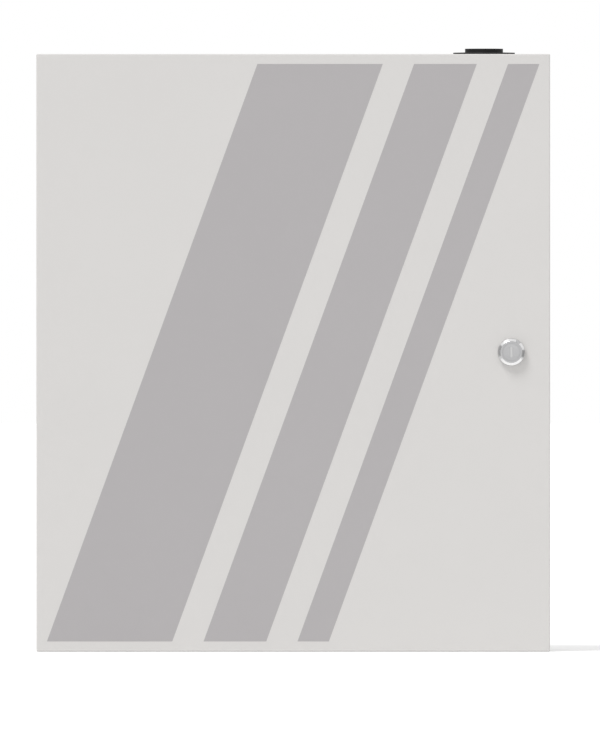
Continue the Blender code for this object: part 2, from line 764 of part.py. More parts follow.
def build_hinges(axis):
    """Two lift-off hinges: a leaf on the box flange, a leaf in the door and a headed pin."""
    radius = PIN_RADIUS + RUN_GAP + LEAF_SHEET / 2
    flange_y = BOX_FRONT - HINGE_Y - SEAT_GAP - LEAF_SHEET / 2
    flange_end = LEFT + FLANGE_WIDTH - LEAF_EDGE - HINGE_X
    door_y = DOOR_INSIDE - HINGE_Y + SEAT_GAP + LEAF_SHEET / 2
    box_run = rounded_path([(flange_end, flange_y), (radius, flange_y), (radius, 0)], LEAF_BEND_RADIUS)
    door_run = rounded_path([(DOOR_LEAF_LENGTH, door_y), (-radius, door_y), (-radius, 0)], LEAF_BEND_RADIUS)
    box_leaf = strip_outline(box_run + curl(0.0)[1:], LEAF_SHEET)
    door_leaf = strip_outline(door_run + curl(math.pi)[1:], LEAF_SHEET)
    length = KNUCKLE_LENGTH - SEAT_GAP / 2
    middle = (KNUCKLE_LENGTH + SEAT_GAP / 2) / 2
    for name, z in hinge_heights().items():
        plate("hinge_leaf_box_" + name, [box_leaf], length, (HINGE_X, HINGE_Y, z - middle), ZINC)
        plate("hinge_leaf_door_" + name, [door_leaf], length, (HINGE_X, HINGE_Y, z + middle), ZINC, axis)
        head_top = -KNUCKLE_LENGTH - SEAT_GAP
        pin = [
            (0, KNUCKLE_LENGTH),
            (PIN_RADIUS, KNUCKLE_LENGTH),
            (PIN_RADIUS, head_top),
            (PIN_HEAD_RADIUS, head_top),
            (PIN_HEAD_RADIUS, head_top - PIN_HEAD_LENGTH),
            (0, head_top - PIN_HEAD_LENGTH),
        ]
        turned("hinge_pin_" + name, pin, (HINGE_X, HINGE_Y, z), ZINC)


def build_lock(door_axis, lock_axis):
    """The cam lock. Its heights are measured from the door's face, positive towards the front."""
    place = (LOCK_X, DOOR_FACE, LOCK_Z)
    cam_front = DOOR_FACE - (BOX_FRONT + SHEET + CAM_GAP)
    shoulder = cam_front + SEAT_GAP
    barrel_end = shoulder + SEAT_GAP
    bore = PLUG_RADIUS + RUN_GAP
    counterbore = PLUG_HEAD_RADIUS + RUN_GAP
    ledge = LOCK_HEAD_LENGTH - PLUG_RECESS - PLUG_HEAD_LENGTH - SEAT_GAP
    housing = [
        (counterbore, LOCK_HEAD_LENGTH),
        (LOCK_FACE_RADIUS, LOCK_HEAD_LENGTH),
        (LOCK_HEAD_RADIUS, SEAT_GAP + LOCK_RIM_LENGTH),
        (LOCK_HEAD_RADIUS, SEAT_GAP),
        (BARREL_RADIUS, SEAT_GAP),
        (BARREL_RADIUS, barrel_end),
        (bore, barrel_end),
        (bore, ledge),
        (counterbore, ledge),
    ]
    turned("lock_housing", housing, place, CHROME, door_axis, FACING_FRONT, FINE_SIDES, ring=True)

    nut = [hexagon(LOCK_NUT_FLATS), circle(BARREL_RADIUS + HOLE_GAP)]
    nut_y = DOOR_INSIDE + SEAT_GAP + LOCK_NUT_LENGTH / 2
    plate("lock_nut", nut, LOCK_NUT_LENGTH, (LOCK_X, nut_y, LOCK_Z), ZINC, door_axis, FACING_FRONT)

    face = LOCK_HEAD_LENGTH - PLUG_RECESS
    body = [
        (0, face),
        (PLUG_HEAD_RADIUS, face),
        (PLUG_HEAD_RADIUS, face - PLUG_HEAD_LENGTH),
        (PLUG_RADIUS, face - PLUG_HEAD_LENGTH),
        (PLUG_RADIUS, shoulder),
        (0, shoulder),
    ]
    plug = turned("lock_plug", body, place, CHROME, lock_axis, FACING_FRONT, FINE_SIDES)
    drive_rear = DOOR_FACE - cam_front + CAM_SHEET + DRIVE_PROUD
    drive_front = DOOR_FACE - shoulder - CAM_SHEET
    drive_size = (DRIVE_WIDTH, drive_rear - drive_front, DRIVE_WIDTH)
    join(plug, box("plug_drive", drive_size, (LOCK_X, (drive_rear + drive_front) / 2, LOCK_Z)))
    keyway = (KEYWAY_WIDTH, 2 * KEYWAY_DEPTH, KEYWAY_HEIGHT)
    cut(plug, box("keyway", keyway, (LOCK_X, DOOR_FACE - face, LOCK_Z)))
    tapped = 2 * (CAM_SCREW_LENGTH + SEAT_GAP)
    screw_hole = rods("screw_hole", CAM_SCREW_RADIUS + RUN_GAP, tapped, [(LOCK_X, drive_rear, LOCK_Z)], FACING_FRONT)
    cut(plug, screw_hole)

    tip = CAM_REACH - CAM_HALF_WIDTH
    hub = circle(CAM_HALF_WIDTH, (0, 0), SMALL_SIDES, math.pi, math.pi)
    end = circle(CAM_HALF_WIDTH, (0, tip), SMALL_SIDES, 0.0, math.pi)
    drive_hole = rectangle(DRIVE_WIDTH + 2 * HOLE_GAP, DRIVE_WIDTH + 2 * HOLE_GAP)
    cam_place = (LOCK_X, DOOR_FACE - cam_front + CAM_SHEET / 2, LOCK_Z)
    plate("lock_cam", [hub + end, drive_hole], CAM_SHEET, cam_place, ZINC, lock_axis, FACING_FRONT)

    screw = [
        (0, CAM_SCREW_LENGTH),
        (CAM_SCREW_RADIUS, CAM_SCREW_LENGTH),
        (CAM_SCREW_RADIUS, -SEAT_GAP),
        (CAM_SCREW_HEAD_RADIUS, -SEAT_GAP),
        (CAM_SCREW_HEAD_RADIUS, -SEAT_GAP - CAM_SCREW_HEAD_LENGTH),
        (0, -SEAT_GAP - CAM_SCREW_HEAD_LENGTH),
    ]
    turned("lock_cam_screw", screw, (LOCK_X, drive_rear, LOCK_Z), ZINC, lock_axis, FACING_FRONT, SMALL_SIDES)


def on_board(x, z):
    """A place on the board's face, measured from its lower left corner."""
    return (BOARD_LEFT + x, BOARD_SEAT, BOARD_BOTTOM + z)


def support_places():
    """The places of the four board supports, by name."""
    x = BOARD_WIDTH / 2 - SUPPORT_INSET
    z = BOARD_HEIGHT / 2 - SUPPORT_INSET
    middle = BOARD_BOTTOM + BOARD_HEIGHT / 2
    return {
        f"{row}_{side}": (BOARD_X + sx * x, middle + sz * z)
        for row, sz in (("upper", 1), ("lower", -1))
        for side, sx in (("left", -1), ("right", 1))
    }


def build_board():
    """The bare board on four nylon supports that snap into its corner holes."""
    size = (BOARD_WIDTH, BOARD_SHEET, BOARD_HEIGHT)
    middle = (BOARD_X, BOARD_REAR - BOARD_SHEET / 2, BOARD_BOTTOM + BOARD_HEIGHT / 2)
    board = box("main_board", size, middle, LAMINATE)
    holes = [(x, middle[1], z) for x, z in support_places().values()]
    through = BOARD_SHEET + 2 * CUT_OVERSHOOT
    cut(board, rods("support_holes", SUPPORT_NECK_RADIUS + HOLE_GAP, through, holes, FACING_FRONT))
    shoulder = SUPPORT_LENGTH - SEAT_GAP
    over = SUPPORT_LENGTH + BOARD_SHEET + SEAT_GAP
    profile = [
        (0, over + SUPPORT_TIP_LENGTH),
        (SUPPORT_NECK_RADIUS, over + SUPPORT_TIP_LENGTH),
        (SUPPORT_TIP_RADIUS, over),
        (SUPPORT_NECK_RADIUS, over),
        (SUPPORT_NECK_RADIUS, shoulder),
        (SUPPORT_RADIUS, shoulder),
        (SUPPORT_RADIUS, SEAT_GAP + SUPPORT_FOOT_LENGTH),
        (SUPPORT_FOOT_RADIUS, SEAT_GAP + SUPPORT_FOOT_LENGTH),
        (SUPPORT_FOOT_RADIUS, SEAT_GAP),
        (0, SEAT_GAP),
    ]
    for name, (x, z) in support_places().items():
        turned("board_support_" + name, profile, (x, BACK_INSIDE, z), NYLON, turn=FACING_FRONT, sides=SMALL_SIDES)


def terminal_ways(left, ways):
    """The middle of each way of a terminal row that starts at a left end."""
    return [left + TERMINAL_PITCH * (i + 0.5) for i in range(ways)]


def terminal_lefts():
    """The left end of each terminal row, by name."""
    power_left = BOARD_RIGHT - TERMINAL_EDGE_GAP - POWER_WAYS * TERMINAL_PITCH
    zone_left = BOARD_LEFT + TERMINAL_EDGE_GAP
    zone_right = zone_left + ZONE_WAYS * TERMINAL_PITCH
    output_left = (zone_right + power_left - OUTPUT_WAYS * TERMINAL_PITCH) / 2
    return {"zone": zone_left, "output": output_left, "power": power_left}


def terminal_entry_place(row, way):
    """Where a wire enters a way of a terminal row, at the row's lower face."""
    x = terminal_lefts()[row] + TERMINAL_PITCH * (way + 0.5)
    return Vector((x, BOARD_SEAT - TERMINAL_DEPTH / 2, BOARD_BOTTOM - TERMINAL_OVERHANG))


def build_terminals():
    """Three rows of screw terminals, with wire entries below and screw wells in front."""
    low = BOARD_BOTTOM - TERMINAL_OVERHANG
    front = BOARD_SEAT - TERMINAL_DEPTH
    for row, ways in (("zone", ZONE_WAYS), ("output", OUTPUT_WAYS), ("power", POWER_WAYS)):
        left = terminal_lefts()[row]
        length = ways * TERMINAL_PITCH
        size = (length, TERMINAL_DEPTH, TERMINAL_HEIGHT)
        middle = (left + length / 2, BOARD_SEAT - TERMINAL_DEPTH / 2, low + TERMINAL_HEIGHT / 2)
        block = box(row + "_terminals", size, middle, GREEN_PLASTIC)
        xs = terminal_ways(left, ways)
        entry = (TERMINAL_ENTRY, TERMINAL_ENTRY, 2 * TERMINAL_ENTRY_DEPTH)
        cut(block, boxes(row + "_entries", entry, [(x, middle[1], low) for x in xs]))
        wells = [(x, front, middle[2]) for x in xs]
        cut(block, rods(row + "_wells", TERMINAL_SCREW_RADIUS, 2 * TERMINAL_SCREW_DEPTH, wells, FACING_FRONT, 8))


def build_board_parts():
    """The larger parts soldered to the board."""
    output_left = terminal_lefts()["output"]
    for i, name in enumerate(("relay_fire", "relay_fault")):
        size = (RELAY_WIDTH, RELAY_DEPTH, RELAY_HEIGHT)
        x = output_left + RELAY_WIDTH / 2 + i * RELAY_PITCH
        place = (x, BOARD_SEAT - RELAY_DEPTH / 2, BOARD_BOTTOM + RELAY_BOARD_Z)
        box(name, size, place, BLUE_PLASTIC, edge=RELAY_EDGE)

    x, y, z = on_board(CHIP_BOARD_X, CHIP_BOARD_Z)
    box("processor_chip", (CHIP_WIDTH, CHIP_DEPTH, CHIP_WIDTH), (x, y - CHIP_DEPTH / 2, z), BLACK_PLASTIC)

    buzzer = [(0, BUZZER_LENGTH), (BUZZER_RADIUS, BUZZER_LENGTH), (BUZZER_RADIUS, 0), (0, 0)]
    x, y, z = on_board(BUZZER_BOARD_X, BUZZER_BOARD_Z)
    made = turned("buzzer", buzzer, (x, y, z), BLACK_PLASTIC, turn=FACING_FRONT)
    hole = [(x, y - BUZZER_LENGTH, z)]
    cut(made, rods("buzzer_hole", BUZZER_HOLE_RADIUS, 2 * BUZZER_HOLE_DEPTH, hole, FACING_FRONT))

    build_fuse()
    build_heat_sink()
    build_lamps_and_buttons()


def build_fuse():
    """A glass fuse between the two clips of its holder."""
    x = BOARD_RIGHT - FUSE_BOARD_X - FUSE_HOLDER_WIDTH / 2
    z = BOARD_BOTTOM + FUSE_BOARD_Z
    end = FUSE_HOLDER_WIDTH / 2
    clip = end - FUSE_CLIP_LENGTH
    top = -FUSE_HOLDER_BASE - FUSE_CLIP_DEPTH
    outline = [
        (end, 0),
        (-end, 0),
        (-end, top),
        (-clip, top),
        (-clip, -FUSE_HOLDER_BASE),
        (clip, -FUSE_HOLDER_BASE),
        (clip, top),
        (end, top),
    ]
    holder = solid_plate("fuse_holder", [outline], FUSE_HOLDER_HEIGHT, (x, BOARD_SEAT, z))
    holder.data.materials.append(BLACK_PLASTIC)
    trough_rear = BOARD_SEAT - FUSE_HOLDER_BASE - FUSE_LIFT
    trough_front = BOARD_SEAT + top - CUT_OVERSHOOT
    trough_width = FUSE_HOLDER_WIDTH + 2 * CUT_OVERSHOOT
    trough_size = (trough_width, trough_rear - trough_front, 2 * (FUSE_RADIUS + SEAT_GAP))
    cut(holder, box("fuse_trough", trough_size, (x, (trough_rear + trough_front) / 2, z)))
    half = FUSE_LENGTH / 2
    fuse = [(0, half), (FUSE_RADIUS, half), (FUSE_RADIUS, -half), (0, -half)]
    fuse_y = trough_rear - SEAT_GAP - FUSE_RADIUS
    turned("fuse", fuse, (x, fuse_y, z), CLEAR_GLASS, turn=(0, math.pi / 2, 0), sides=SMALL_SIDES)


def build_heat_sink():
    """An extruded heat sink, with its fins towards the door."""
    pitch = (SINK_WIDTH - SINK_FIN) / (SINK_FINS - 1)
    comb = [(SINK_WIDTH, 0), (0, 0)]
    for i in range(SINK_FINS):
        start = i * pitch
        comb += [
            (start, -SINK_BASE),
            (start, -SINK_BASE - SINK_FIN_DEPTH),
            (start + SINK_FIN, -SINK_BASE - SINK_FIN_DEPTH),
            (start + SINK_FIN, -SINK_BASE),
        ]
    comb = [point for i, point in enumerate(comb) if i not in (2, len(comb) - 1)]
    place = (BOARD_RIGHT - SINK_BOARD_X - SINK_WIDTH / 2, BOARD_SEAT, BOARD_BOTTOM + SINK_BOARD_Z)
    plate("heat_sink", [comb], SINK_HEIGHT, place, ALUMINIUM)


def build_lamps_and_buttons():
    """Three lamps, and two push buttons that slide in their switches."""
    lamp = [
        (0, LED_LENGTH),
        (LED_RADIUS * math.sin(math.pi / 4), LED_LENGTH - LED_RADIUS * (1 - math.cos(math.pi / 4))),
        (LED_RADIUS, LED_LENGTH - LED_RADIUS),
        (LED_RADIUS, LED_RIM_LENGTH),
        (LED_RIM_RADIUS, LED_RIM_LENGTH),
        (LED_RIM_RADIUS, 0),
        (0, 0),
    ]
    lamps = (("lamp_fire", RED_PLASTIC), ("lamp_fault", AMBER_PLASTIC), ("lamp_power", LAMP_GREEN_PLASTIC))
    for i, (name, material) in enumerate(lamps):
        place = on_board(LED_BOARD_X + i * LED_PITCH, LED_BOARD_Z)
        turned(name, lamp, place, material, turn=FACING_FRONT, sides=SMALL_SIDES)

    for i, (name, material) in enumerate((("silence", AMBER_PLASTIC), ("reset", RED_PLASTIC))):
        x, y, z = on_board(SWITCH_BOARD_X + i * SWITCH_PITCH, SWITCH_BOARD_Z)
        size = (SWITCH_WIDTH, SWITCH_DEPTH, SWITCH_WIDTH)
        switch = box(name + "_switch", size, (x, y - SWITCH_DEPTH / 2, z), BLACK_PLASTIC)
        hole_depth = BUTTON_STEM_INSERT + BUTTON_TRAVEL + SEAT_GAP
        face = y - SWITCH_DEPTH
        bore = BUTTON_STEM_RADIUS + HOLE_GAP
        cut(switch, rods(name + "_stem_hole", bore, 2 * hole_depth, [(x, face, z)], FACING_FRONT))
        under = BUTTON_TRAVEL + BUTTON_SPARE_TRAVEL
        cap = [
            (0, under + BUTTON_LENGTH),
            (BUTTON_RADIUS - BUTTON_EDGE, under + BUTTON_LENGTH),
            (BUTTON_RADIUS, under + BUTTON_LENGTH - BUTTON_EDGE),
            (BUTTON_RADIUS, under),
            (BUTTON_STEM_RADIUS, under),
            (BUTTON_STEM_RADIUS, -BUTTON_STEM_INSERT),
            (0, -BUTTON_STEM_INSERT),
        ]
        axis = axis_empty(name + "_axis", (x, face, z))
        turned(name + "_button", cap, (x, face, z), material, axis, FACING_FRONT, SMALL_SIDES)


def supply_terminal_place(way):
    """The middle of a way of the power supply's terminals, at the top of its block."""
    x = SUPPLY_X + SUPPLY_TERMINAL_PITCH * (way - (SUPPLY_TERMINAL_WAYS - 1) / 2)
    return Vector((x, SUPPLY_SHELF - SUPPLY_TERMINAL_DEPTH / 2, SUPPLY_TOP))


def build_power_supply():
    """The power supply: a channel chassis, a vented cover over it and a row of terminals on its top end."""
    length = SUPPLY_COVER_TOP - SUPPLY_FLOOR
    middle_z = SUPPLY_FLOOR + length / 2
    chassis_x = SUPPLY_WIDTH / 2 - COVER_SHEET - SEAT_GAP - CHASSIS_SHEET / 2
    front = -SUPPLY_DEPTH + COVER_SHEET + BEND_RADIUS
    rear = -CHASSIS_SHEET / 2
    channel = rounded_path([(-chassis_x, front), (-chassis_x, rear), (chassis_x, rear), (chassis_x, front)], BEND_RADIUS)
    inside = length - 2 * (COVER_SHEET + BEND_RADIUS)
    place = (SUPPLY_X, SUPPLY_REAR, middle_z)
    plate("supply_chassis", [strip_outline(channel, CHASSIS_SHEET)], inside, place, ALUMINIUM)

    def shell(shape):
        add_box(shape, (SUPPLY_WIDTH, SUPPLY_DEPTH, length))
        back = max(shape.faces, key=lambda face: face.calc_center_median().y)
        bmesh.ops.delete(shape, geom=[back], context="FACES")

    place = (SUPPLY_X, SUPPLY_REAR - SUPPLY_DEPTH / 2, middle_z)
    cover = fold_sheet(link("supply_cover", mesh_of("supply_cover", shell), place, ZINC), COVER_SHEET)
    columns = (-SUPPLY_WIDTH / 4, SUPPLY_WIDTH / 4)
    vents = [
        (SUPPLY_X + x, SUPPLY_REAR - SUPPLY_DEPTH, middle_z + VENT_PITCH * (i - (VENT_ROWS - 1) / 2))
        for x in columns
        for i in range(VENT_ROWS)
    ]
    cut(cover, boxes("supply_vents", (VENT_LENGTH, 2 * (COVER_SHEET + CUT_OVERSHOOT), VENT_WIDTH), vents))

    width = SUPPLY_TERMINAL_WAYS * SUPPLY_TERMINAL_PITCH
    size = (width, SUPPLY_TERMINAL_DEPTH, SUPPLY_TERMINAL_HEIGHT)
    block_y = SUPPLY_SHELF - SUPPLY_TERMINAL_DEPTH / 2
    block = box("supply_terminals", size, (SUPPLY_X, block_y, SUPPLY_TOP - SUPPLY_TERMINAL_HEIGHT / 2), BLACK_PLASTIC)
    well = (SUPPLY_TERMINAL_WELL, 2 * SUPPLY_TERMINAL_WELL_DEPTH, 2 * SUPPLY_TERMINAL_WELL)
    well_y = SUPPLY_SHELF - SUPPLY_TERMINAL_DEPTH
    wells = [(supply_terminal_place(way).x, well_y, SUPPLY_TOP) for way in range(SUPPLY_TERMINAL_WAYS)]
    cut(block, boxes("supply_wells", well, wells))


def blade_place(battery, blade):
    """The top of a battery's blade terminal: battery 0 is the left one, and blade 1 its right one."""
    middle = BATTERY_LEFT + BATTERY_WIDTH / 2 + battery * (BATTERY_WIDTH + BATTERY_PITCH_GAP)
    reach = BATTERY_WIDTH / 2 - BLADE_INSET_X
    return Vector((middle + (2 * blade - 1) * reach, BLADE_Y, BATTERY_TOP + BLADE_LENGTH))


def build_batteries():
    """Two sealed batteries side by side, each a case under a lid with two moulded-in blades."""
    for battery, name in enumerate(("battery_left", "battery_right")):
        x = BATTERY_LEFT + BATTERY_WIDTH / 2 + battery * (BATTERY_WIDTH + BATTERY_PITCH_GAP)
        case_size = (BATTERY_WIDTH, BATTERY_DEPTH, BATTERY_CASE_HEIGHT)
        case_z = BATTERY_FLOOR + BATTERY_CASE_HEIGHT / 2
        box(name + "_case", case_size, (x, BATTERY_Y, case_z), GREY_PLASTIC, edge=BATTERY_EDGE)
        lid_size = (BATTERY_WIDTH, BATTERY_DEPTH, BATTERY_LID_HEIGHT)
        lid_z = BATTERY_LID_FLOOR + BATTERY_LID_HEIGHT / 2
        lid = box(name + "_lid", lid_size, (x, BATTERY_Y, lid_z), GREY_PLASTIC, edge=BATTERY_EDGE)
        height = BLADE_LENGTH + BATTERY_LID_HEIGHT / 2
        for blade in (0, 1):
            top = blade_place(battery, blade)
            size = (BLADE_WIDTH, BLADE_SHEET, height)
            join(lid, box(f"{name}_blade_{blade}", size, top - Vector((0, 0, height / 2))))


def build_battery_bracket():
    """The strap that holds both batteries against the back, with a screw through each foot."""
    half = BRACKET_SHEET / 2
    left = BATTERY_LEFT - SEAT_GAP - half
    right = BATTERY_RIGHT + SEAT_GAP + half
    front = BATTERY_Y - BATTERY_DEPTH / 2 - SEAT_GAP - half
    foot = BACK_INSIDE - SEAT_GAP - half
    reach = half + BRACKET_FOOT
    corners = [(left - reach, foot), (left, foot), (left, front), (right, front), (right, foot), (right + reach, foot)]
    outline = strip_outline(rounded_path(corners, BEND_RADIUS), BRACKET_SHEET)
    z = BATTERY_FLOOR + BRACKET_RISE
    bracket = solid_plate("battery_bracket", [outline], BRACKET_WIDTH, (0, 0, z))
    bracket.data.materials.append(ZINC)
    through = 2 * (BRACKET_SHEET + CUT_OVERSHOOT)
    holes = [(x, foot, z) for x, z in bracket_screw_places()]
    cut(bracket, rods("bracket_holes", BRACKET_SCREW_RADIUS + HOLE_GAP, through, holes, FACING_FRONT))
    under_head = foot - half - SEAT_GAP
    shank = under_head + SEAT_GAP
    profile = [
        (0, BRACKET_SCREW_HEAD_LENGTH),
        (BRACKET_SCREW_HEAD_RADIUS, BRACKET_SCREW_HEAD_LENGTH),
        (BRACKET_SCREW_HEAD_RADIUS, 0),
        (BRACKET_SCREW_RADIUS, 0),
        (BRACKET_SCREW_RADIUS, shank),
        (0, shank),
    ]
    for name, (x, z) in zip(("left", "right"), bracket_screw_places()):
        turned("bracket_screw_" + name, profile, (x, under_head, z), ZINC, turn=FACING_FRONT, sides=SMALL_SIDES)


def build_tamper_switch():
    """The tamper switch on its bracket, with the plunger that the closed door holds in."""
    wall = RIGHT - SHEET - SEAT_GAP - TAMPER_BRACKET_SHEET / 2
    arm_end = TAMPER_X - TAMPER_BODY_WIDTH / 2
    corners = [(wall, TAMPER_ARM_Y + TAMPER_FOOT), (wall, TAMPER_ARM_Y), (arm_end, TAMPER_ARM_Y)]
    outline = strip_outline(rounded_path(corners, BEND_RADIUS), TAMPER_BRACKET_SHEET)
    plate("tamper_bracket", [outline], TAMPER_BRACKET_HEIGHT, (0, 0, TAMPER_Z), ZINC)

    size = (TAMPER_BODY_WIDTH, TAMPER_BODY_DEPTH, TAMPER_BODY_HEIGHT)
    middle = (TAMPER_X, (TAMPER_BODY_REAR + TAMPER_BODY_FRONT) / 2, TAMPER_Z)
    body = box("tamper_switch", size, middle, BLACK_PLASTIC)
    face = (TAMPER_X, TAMPER_BODY_FRONT, TAMPER_Z)
    bore = PLUNGER_RADIUS + RUN_GAP
    cut(body, rods("plunger_bore", bore, 2 * PLUNGER_BORE_DEPTH, [face], FACING_FRONT, ROUND_SIDES))

    tip = TAMPER_BODY_FRONT - DOOR_INSIDE - SEAT_GAP
    crown = PLUNGER_HEAD_RADIUS / 2
    profile = [
        (0, tip),
        (PLUNGER_HEAD_RADIUS - crown, tip),
        (PLUNGER_HEAD_RADIUS, tip - crown),
        (PLUNGER_HEAD_RADIUS, tip - PLUNGER_HEAD_LENGTH),
        (PLUNGER_RADIUS, tip - PLUNGER_HEAD_LENGTH),
        (PLUNGER_RADIUS, -PLUNGER_INSERT),
        (0, -PLUNGER_INSERT),
    ]
    axis = axis_empty("plunger_axis", face)
    turned("tamper_plunger", profile, face, NYLON, axis, FACING_FRONT)


def build_earth(door_axis):
    """The earth stud and nut in the box, and the collared stud on the door."""
    stud = [(0, STUD_LENGTH), (STUD_RADIUS, STUD_LENGTH), (STUD_RADIUS, SEAT_GAP), (0, SEAT_GAP)]
    turned("earth_stud", stud, (STUD_X, BACK_INSIDE, STUD_Z), ZINC, turn=FACING_FRONT, sides=SMALL_SIDES)
    nut = [hexagon(STUD_NUT_FLATS), circle(STUD_RADIUS + HOLE_GAP, sides=SMALL_SIDES)]
    nut_y = BACK_INSIDE - STUD_NUT_LIFT - STUD_NUT_LENGTH / 2
    plate("earth_nut", nut, STUD_NUT_LENGTH, (STUD_X, nut_y, STUD_Z), ZINC, turn=FACING_FRONT)
    collar = SEAT_GAP + DOOR_STUD_COLLAR_LENGTH
    profile = [
        (0, DOOR_STUD_LENGTH),
        (STUD_RADIUS, DOOR_STUD_LENGTH),
        (STUD_RADIUS, collar),
        (DOOR_STUD_COLLAR_RADIUS, collar),
        (DOOR_STUD_COLLAR_RADIUS, SEAT_GAP),
        (0, SEAT_GAP),
    ]
    place = (HINGE_X + DOOR_STUD_OFFSET, DOOR_INSIDE, STUD_Z)
    turned("door_earth_stud", profile, place, ZINC, door_axis, (-math.pi / 2, 0, 0), SMALL_SIDES)


def supply_lead_start(way):
    """Where a lead starts in front of a way's contact, inside the power supply's terminal block."""
    start = supply_terminal_place(way)
    floor = SUPPLY_SHELF - SUPPLY_TERMINAL_DEPTH + SUPPLY_TERMINAL_WELL_DEPTH
    return Vector((start.x, floor - LEAD_RADIUS - SEAT_GAP, start.z - LEAD_INSERT))


def build_leads():
    """The wires between the batteries, the power supply, the board and the earth studs."""
    up = Vector((0, 0, 1))
    out = Vector((0, -1, 0))
    over_blade = up * SEAT_GAP

    first, second = blade_place(0, 1) + over_blade, blade_place(1, 0) + over_blade
    rise = up * LINK_LEAD_RISE
    lead("battery_link_lead", [first, first + rise / 2, (first + second) / 2 + rise, second + rise / 2, second], BLACK_PLASTIC)

    for way, name, battery, blade, material in (
        (0, "battery_positive_lead", 1, 1, RED_PLASTIC),
        (1, "battery_negative_lead", 0, 0, BLACK_PLASTIC),
    ):
        start = blade_place(battery, blade) + over_blade
        end = terminal_entry_place("power", way)
        y = start.y - BATTERY_LEAD_STEP_Y * way
        z = start.z + BATTERY_LEAD_LEVEL + BATTERY_LEAD_STEP_Z * way
        route = [
            start,
            start + up * LEAD_RISE,
            Vector((start.x + LEAD_BEND, (start.y + y) / 2, z - LEAD_BEND)),
            Vector((start.x + LEAD_SWEEP, y, z)),
            Vector((end.x - LEAD_SWEEP, y, z)),
            Vector((end.x - LEAD_BEND, y, z + LEAD_RISE)),
            Vector((end.x, (y + end.y) / 2, z + LEAD_SWEEP)),
            Vector((end.x, end.y, end.z - LEAD_APPROACH)),
            end,
            end + up * LEAD_INSERT,
        ]
        lead(name, route, material)

    for way, supply_way, name, material in (
        (2, 1, "supply_positive_lead", RED_PLASTIC),
        (3, 2, "supply_negative_lead", BLACK_PLASTIC),
    ):
        start = supply_lead_start(supply_way)
        end = terminal_entry_place("power", way)
        middle = (start + end) / 2 + out * SUPPLY_LEAD_BOW
        rise = [start, start + up * LEAD_RISE, start + up * LEAD_APPROACH]
        approach = [end - up * LEAD_APPROACH, end, end + up * LEAD_INSERT]
        lead(name, rise + [middle] + approach, material)

    start = supply_lead_start(0)
    nut_y = BACK_INSIDE - STUD_NUT_LIFT - STUD_NUT_LENGTH / 2
    end = Vector((STUD_X, nut_y, STUD_Z - STUD_NUT_FLATS / 2 - SEAT_GAP))
    level = start.z + EARTH_LEAD_LEVEL
    route = [
        start,
        start + up * LEAD_RISE,
        Vector((start.x - LEAD_BEND, nut_y, level)),
        Vector((start.x - LEAD_SWEEP, nut_y, level)),
        Vector(((start.x + end.x) / 2, nut_y, level)),
        Vector((end.x + LEAD_SWEEP, nut_y, level)),
        Vector((end.x + LEAD_BEND, nut_y, level + LEAD_APPROACH)),
        end - up * LEAD_RISE,
        end,
    ]
    lead("supply_earth_lead", route, EARTH_PLASTIC)

    start = Vector((STUD_X, BACK_INSIDE - STUD_LENGTH - SEAT_GAP, STUD_Z))
    end = Vector((HINGE_X + DOOR_STUD_OFFSET, DOOR_INSIDE + DOOR_STUD_LENGTH + SEAT_GAP, STUD_Z))
    sag = up * DOOR_LEAD_SAG
    route = [
        start,
        start + out * LEAD_RISE - sag * 0.10,
        start.lerp(end, 0.24) - sag * 0.75,
        start.lerp(end, 0.50) - sag,
        start.lerp(end, 0.76) - sag * 0.75,
        end - out * LEAD_BEND - sag * 0.10,
        end,
    ]
    lead("door_earth_lead", route, EARTH_PLASTIC)

    start = Vector((TAMPER_X, (TAMPER_BODY_REAR + TAMPER_BODY_FRONT) / 2, TAMPER_Z))
    start.z -= TAMPER_BODY_HEIGHT / 2 + SEAT_GAP
    end = terminal_entry_place("power", POWER_WAYS - 1)
    route = [
        start,
        start - up * LEAD_APPROACH,
        Vector((start.x, (start.y + end.y) / 2, (start.z + end.z) / 2)),
        Vector((start.x - LEAD_BEND, end.y, end.z - LEAD_BEND)),
        Vector(((start.x + end.x) / 2, end.y, end.z - TAMPER_LEAD_DROP)),
        Vector((end.x + LEAD_BEND, end.y, end.z - LEAD_APPROACH)),
        end,
        end + up * LEAD_INSERT,
    ]
    lead("tamper_lead", route, BLACK_PLASTIC, THIN_LEAD_RADIUS)


def main():
    """Builds every piece of the panel."""
    door_axis = axis_empty("door_axis", (HINGE_X, HINGE_Y, 0))
    lock_axis = axis_empty("lock_axis", (LOCK_X, DOOR_FACE, LOCK_Z), door_axis)
    build_back_box()
    build_entry_plug()
    build_door(door_axis)
    build_hinges(door_axis)
    build_lock(door_axis, lock_axis)
    build_board()
    build_terminals()
    build_board_parts()
    build_power_supply()
    build_batteries()
    build_battery_bracket()
    build_tamper_switch()
    build_earth(door_axis)
    build_leads()


main()
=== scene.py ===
import logging
import math
from collections.abc import Callable
from dataclasses import dataclass, replace
from enum import Enum
from typing import ClassVar

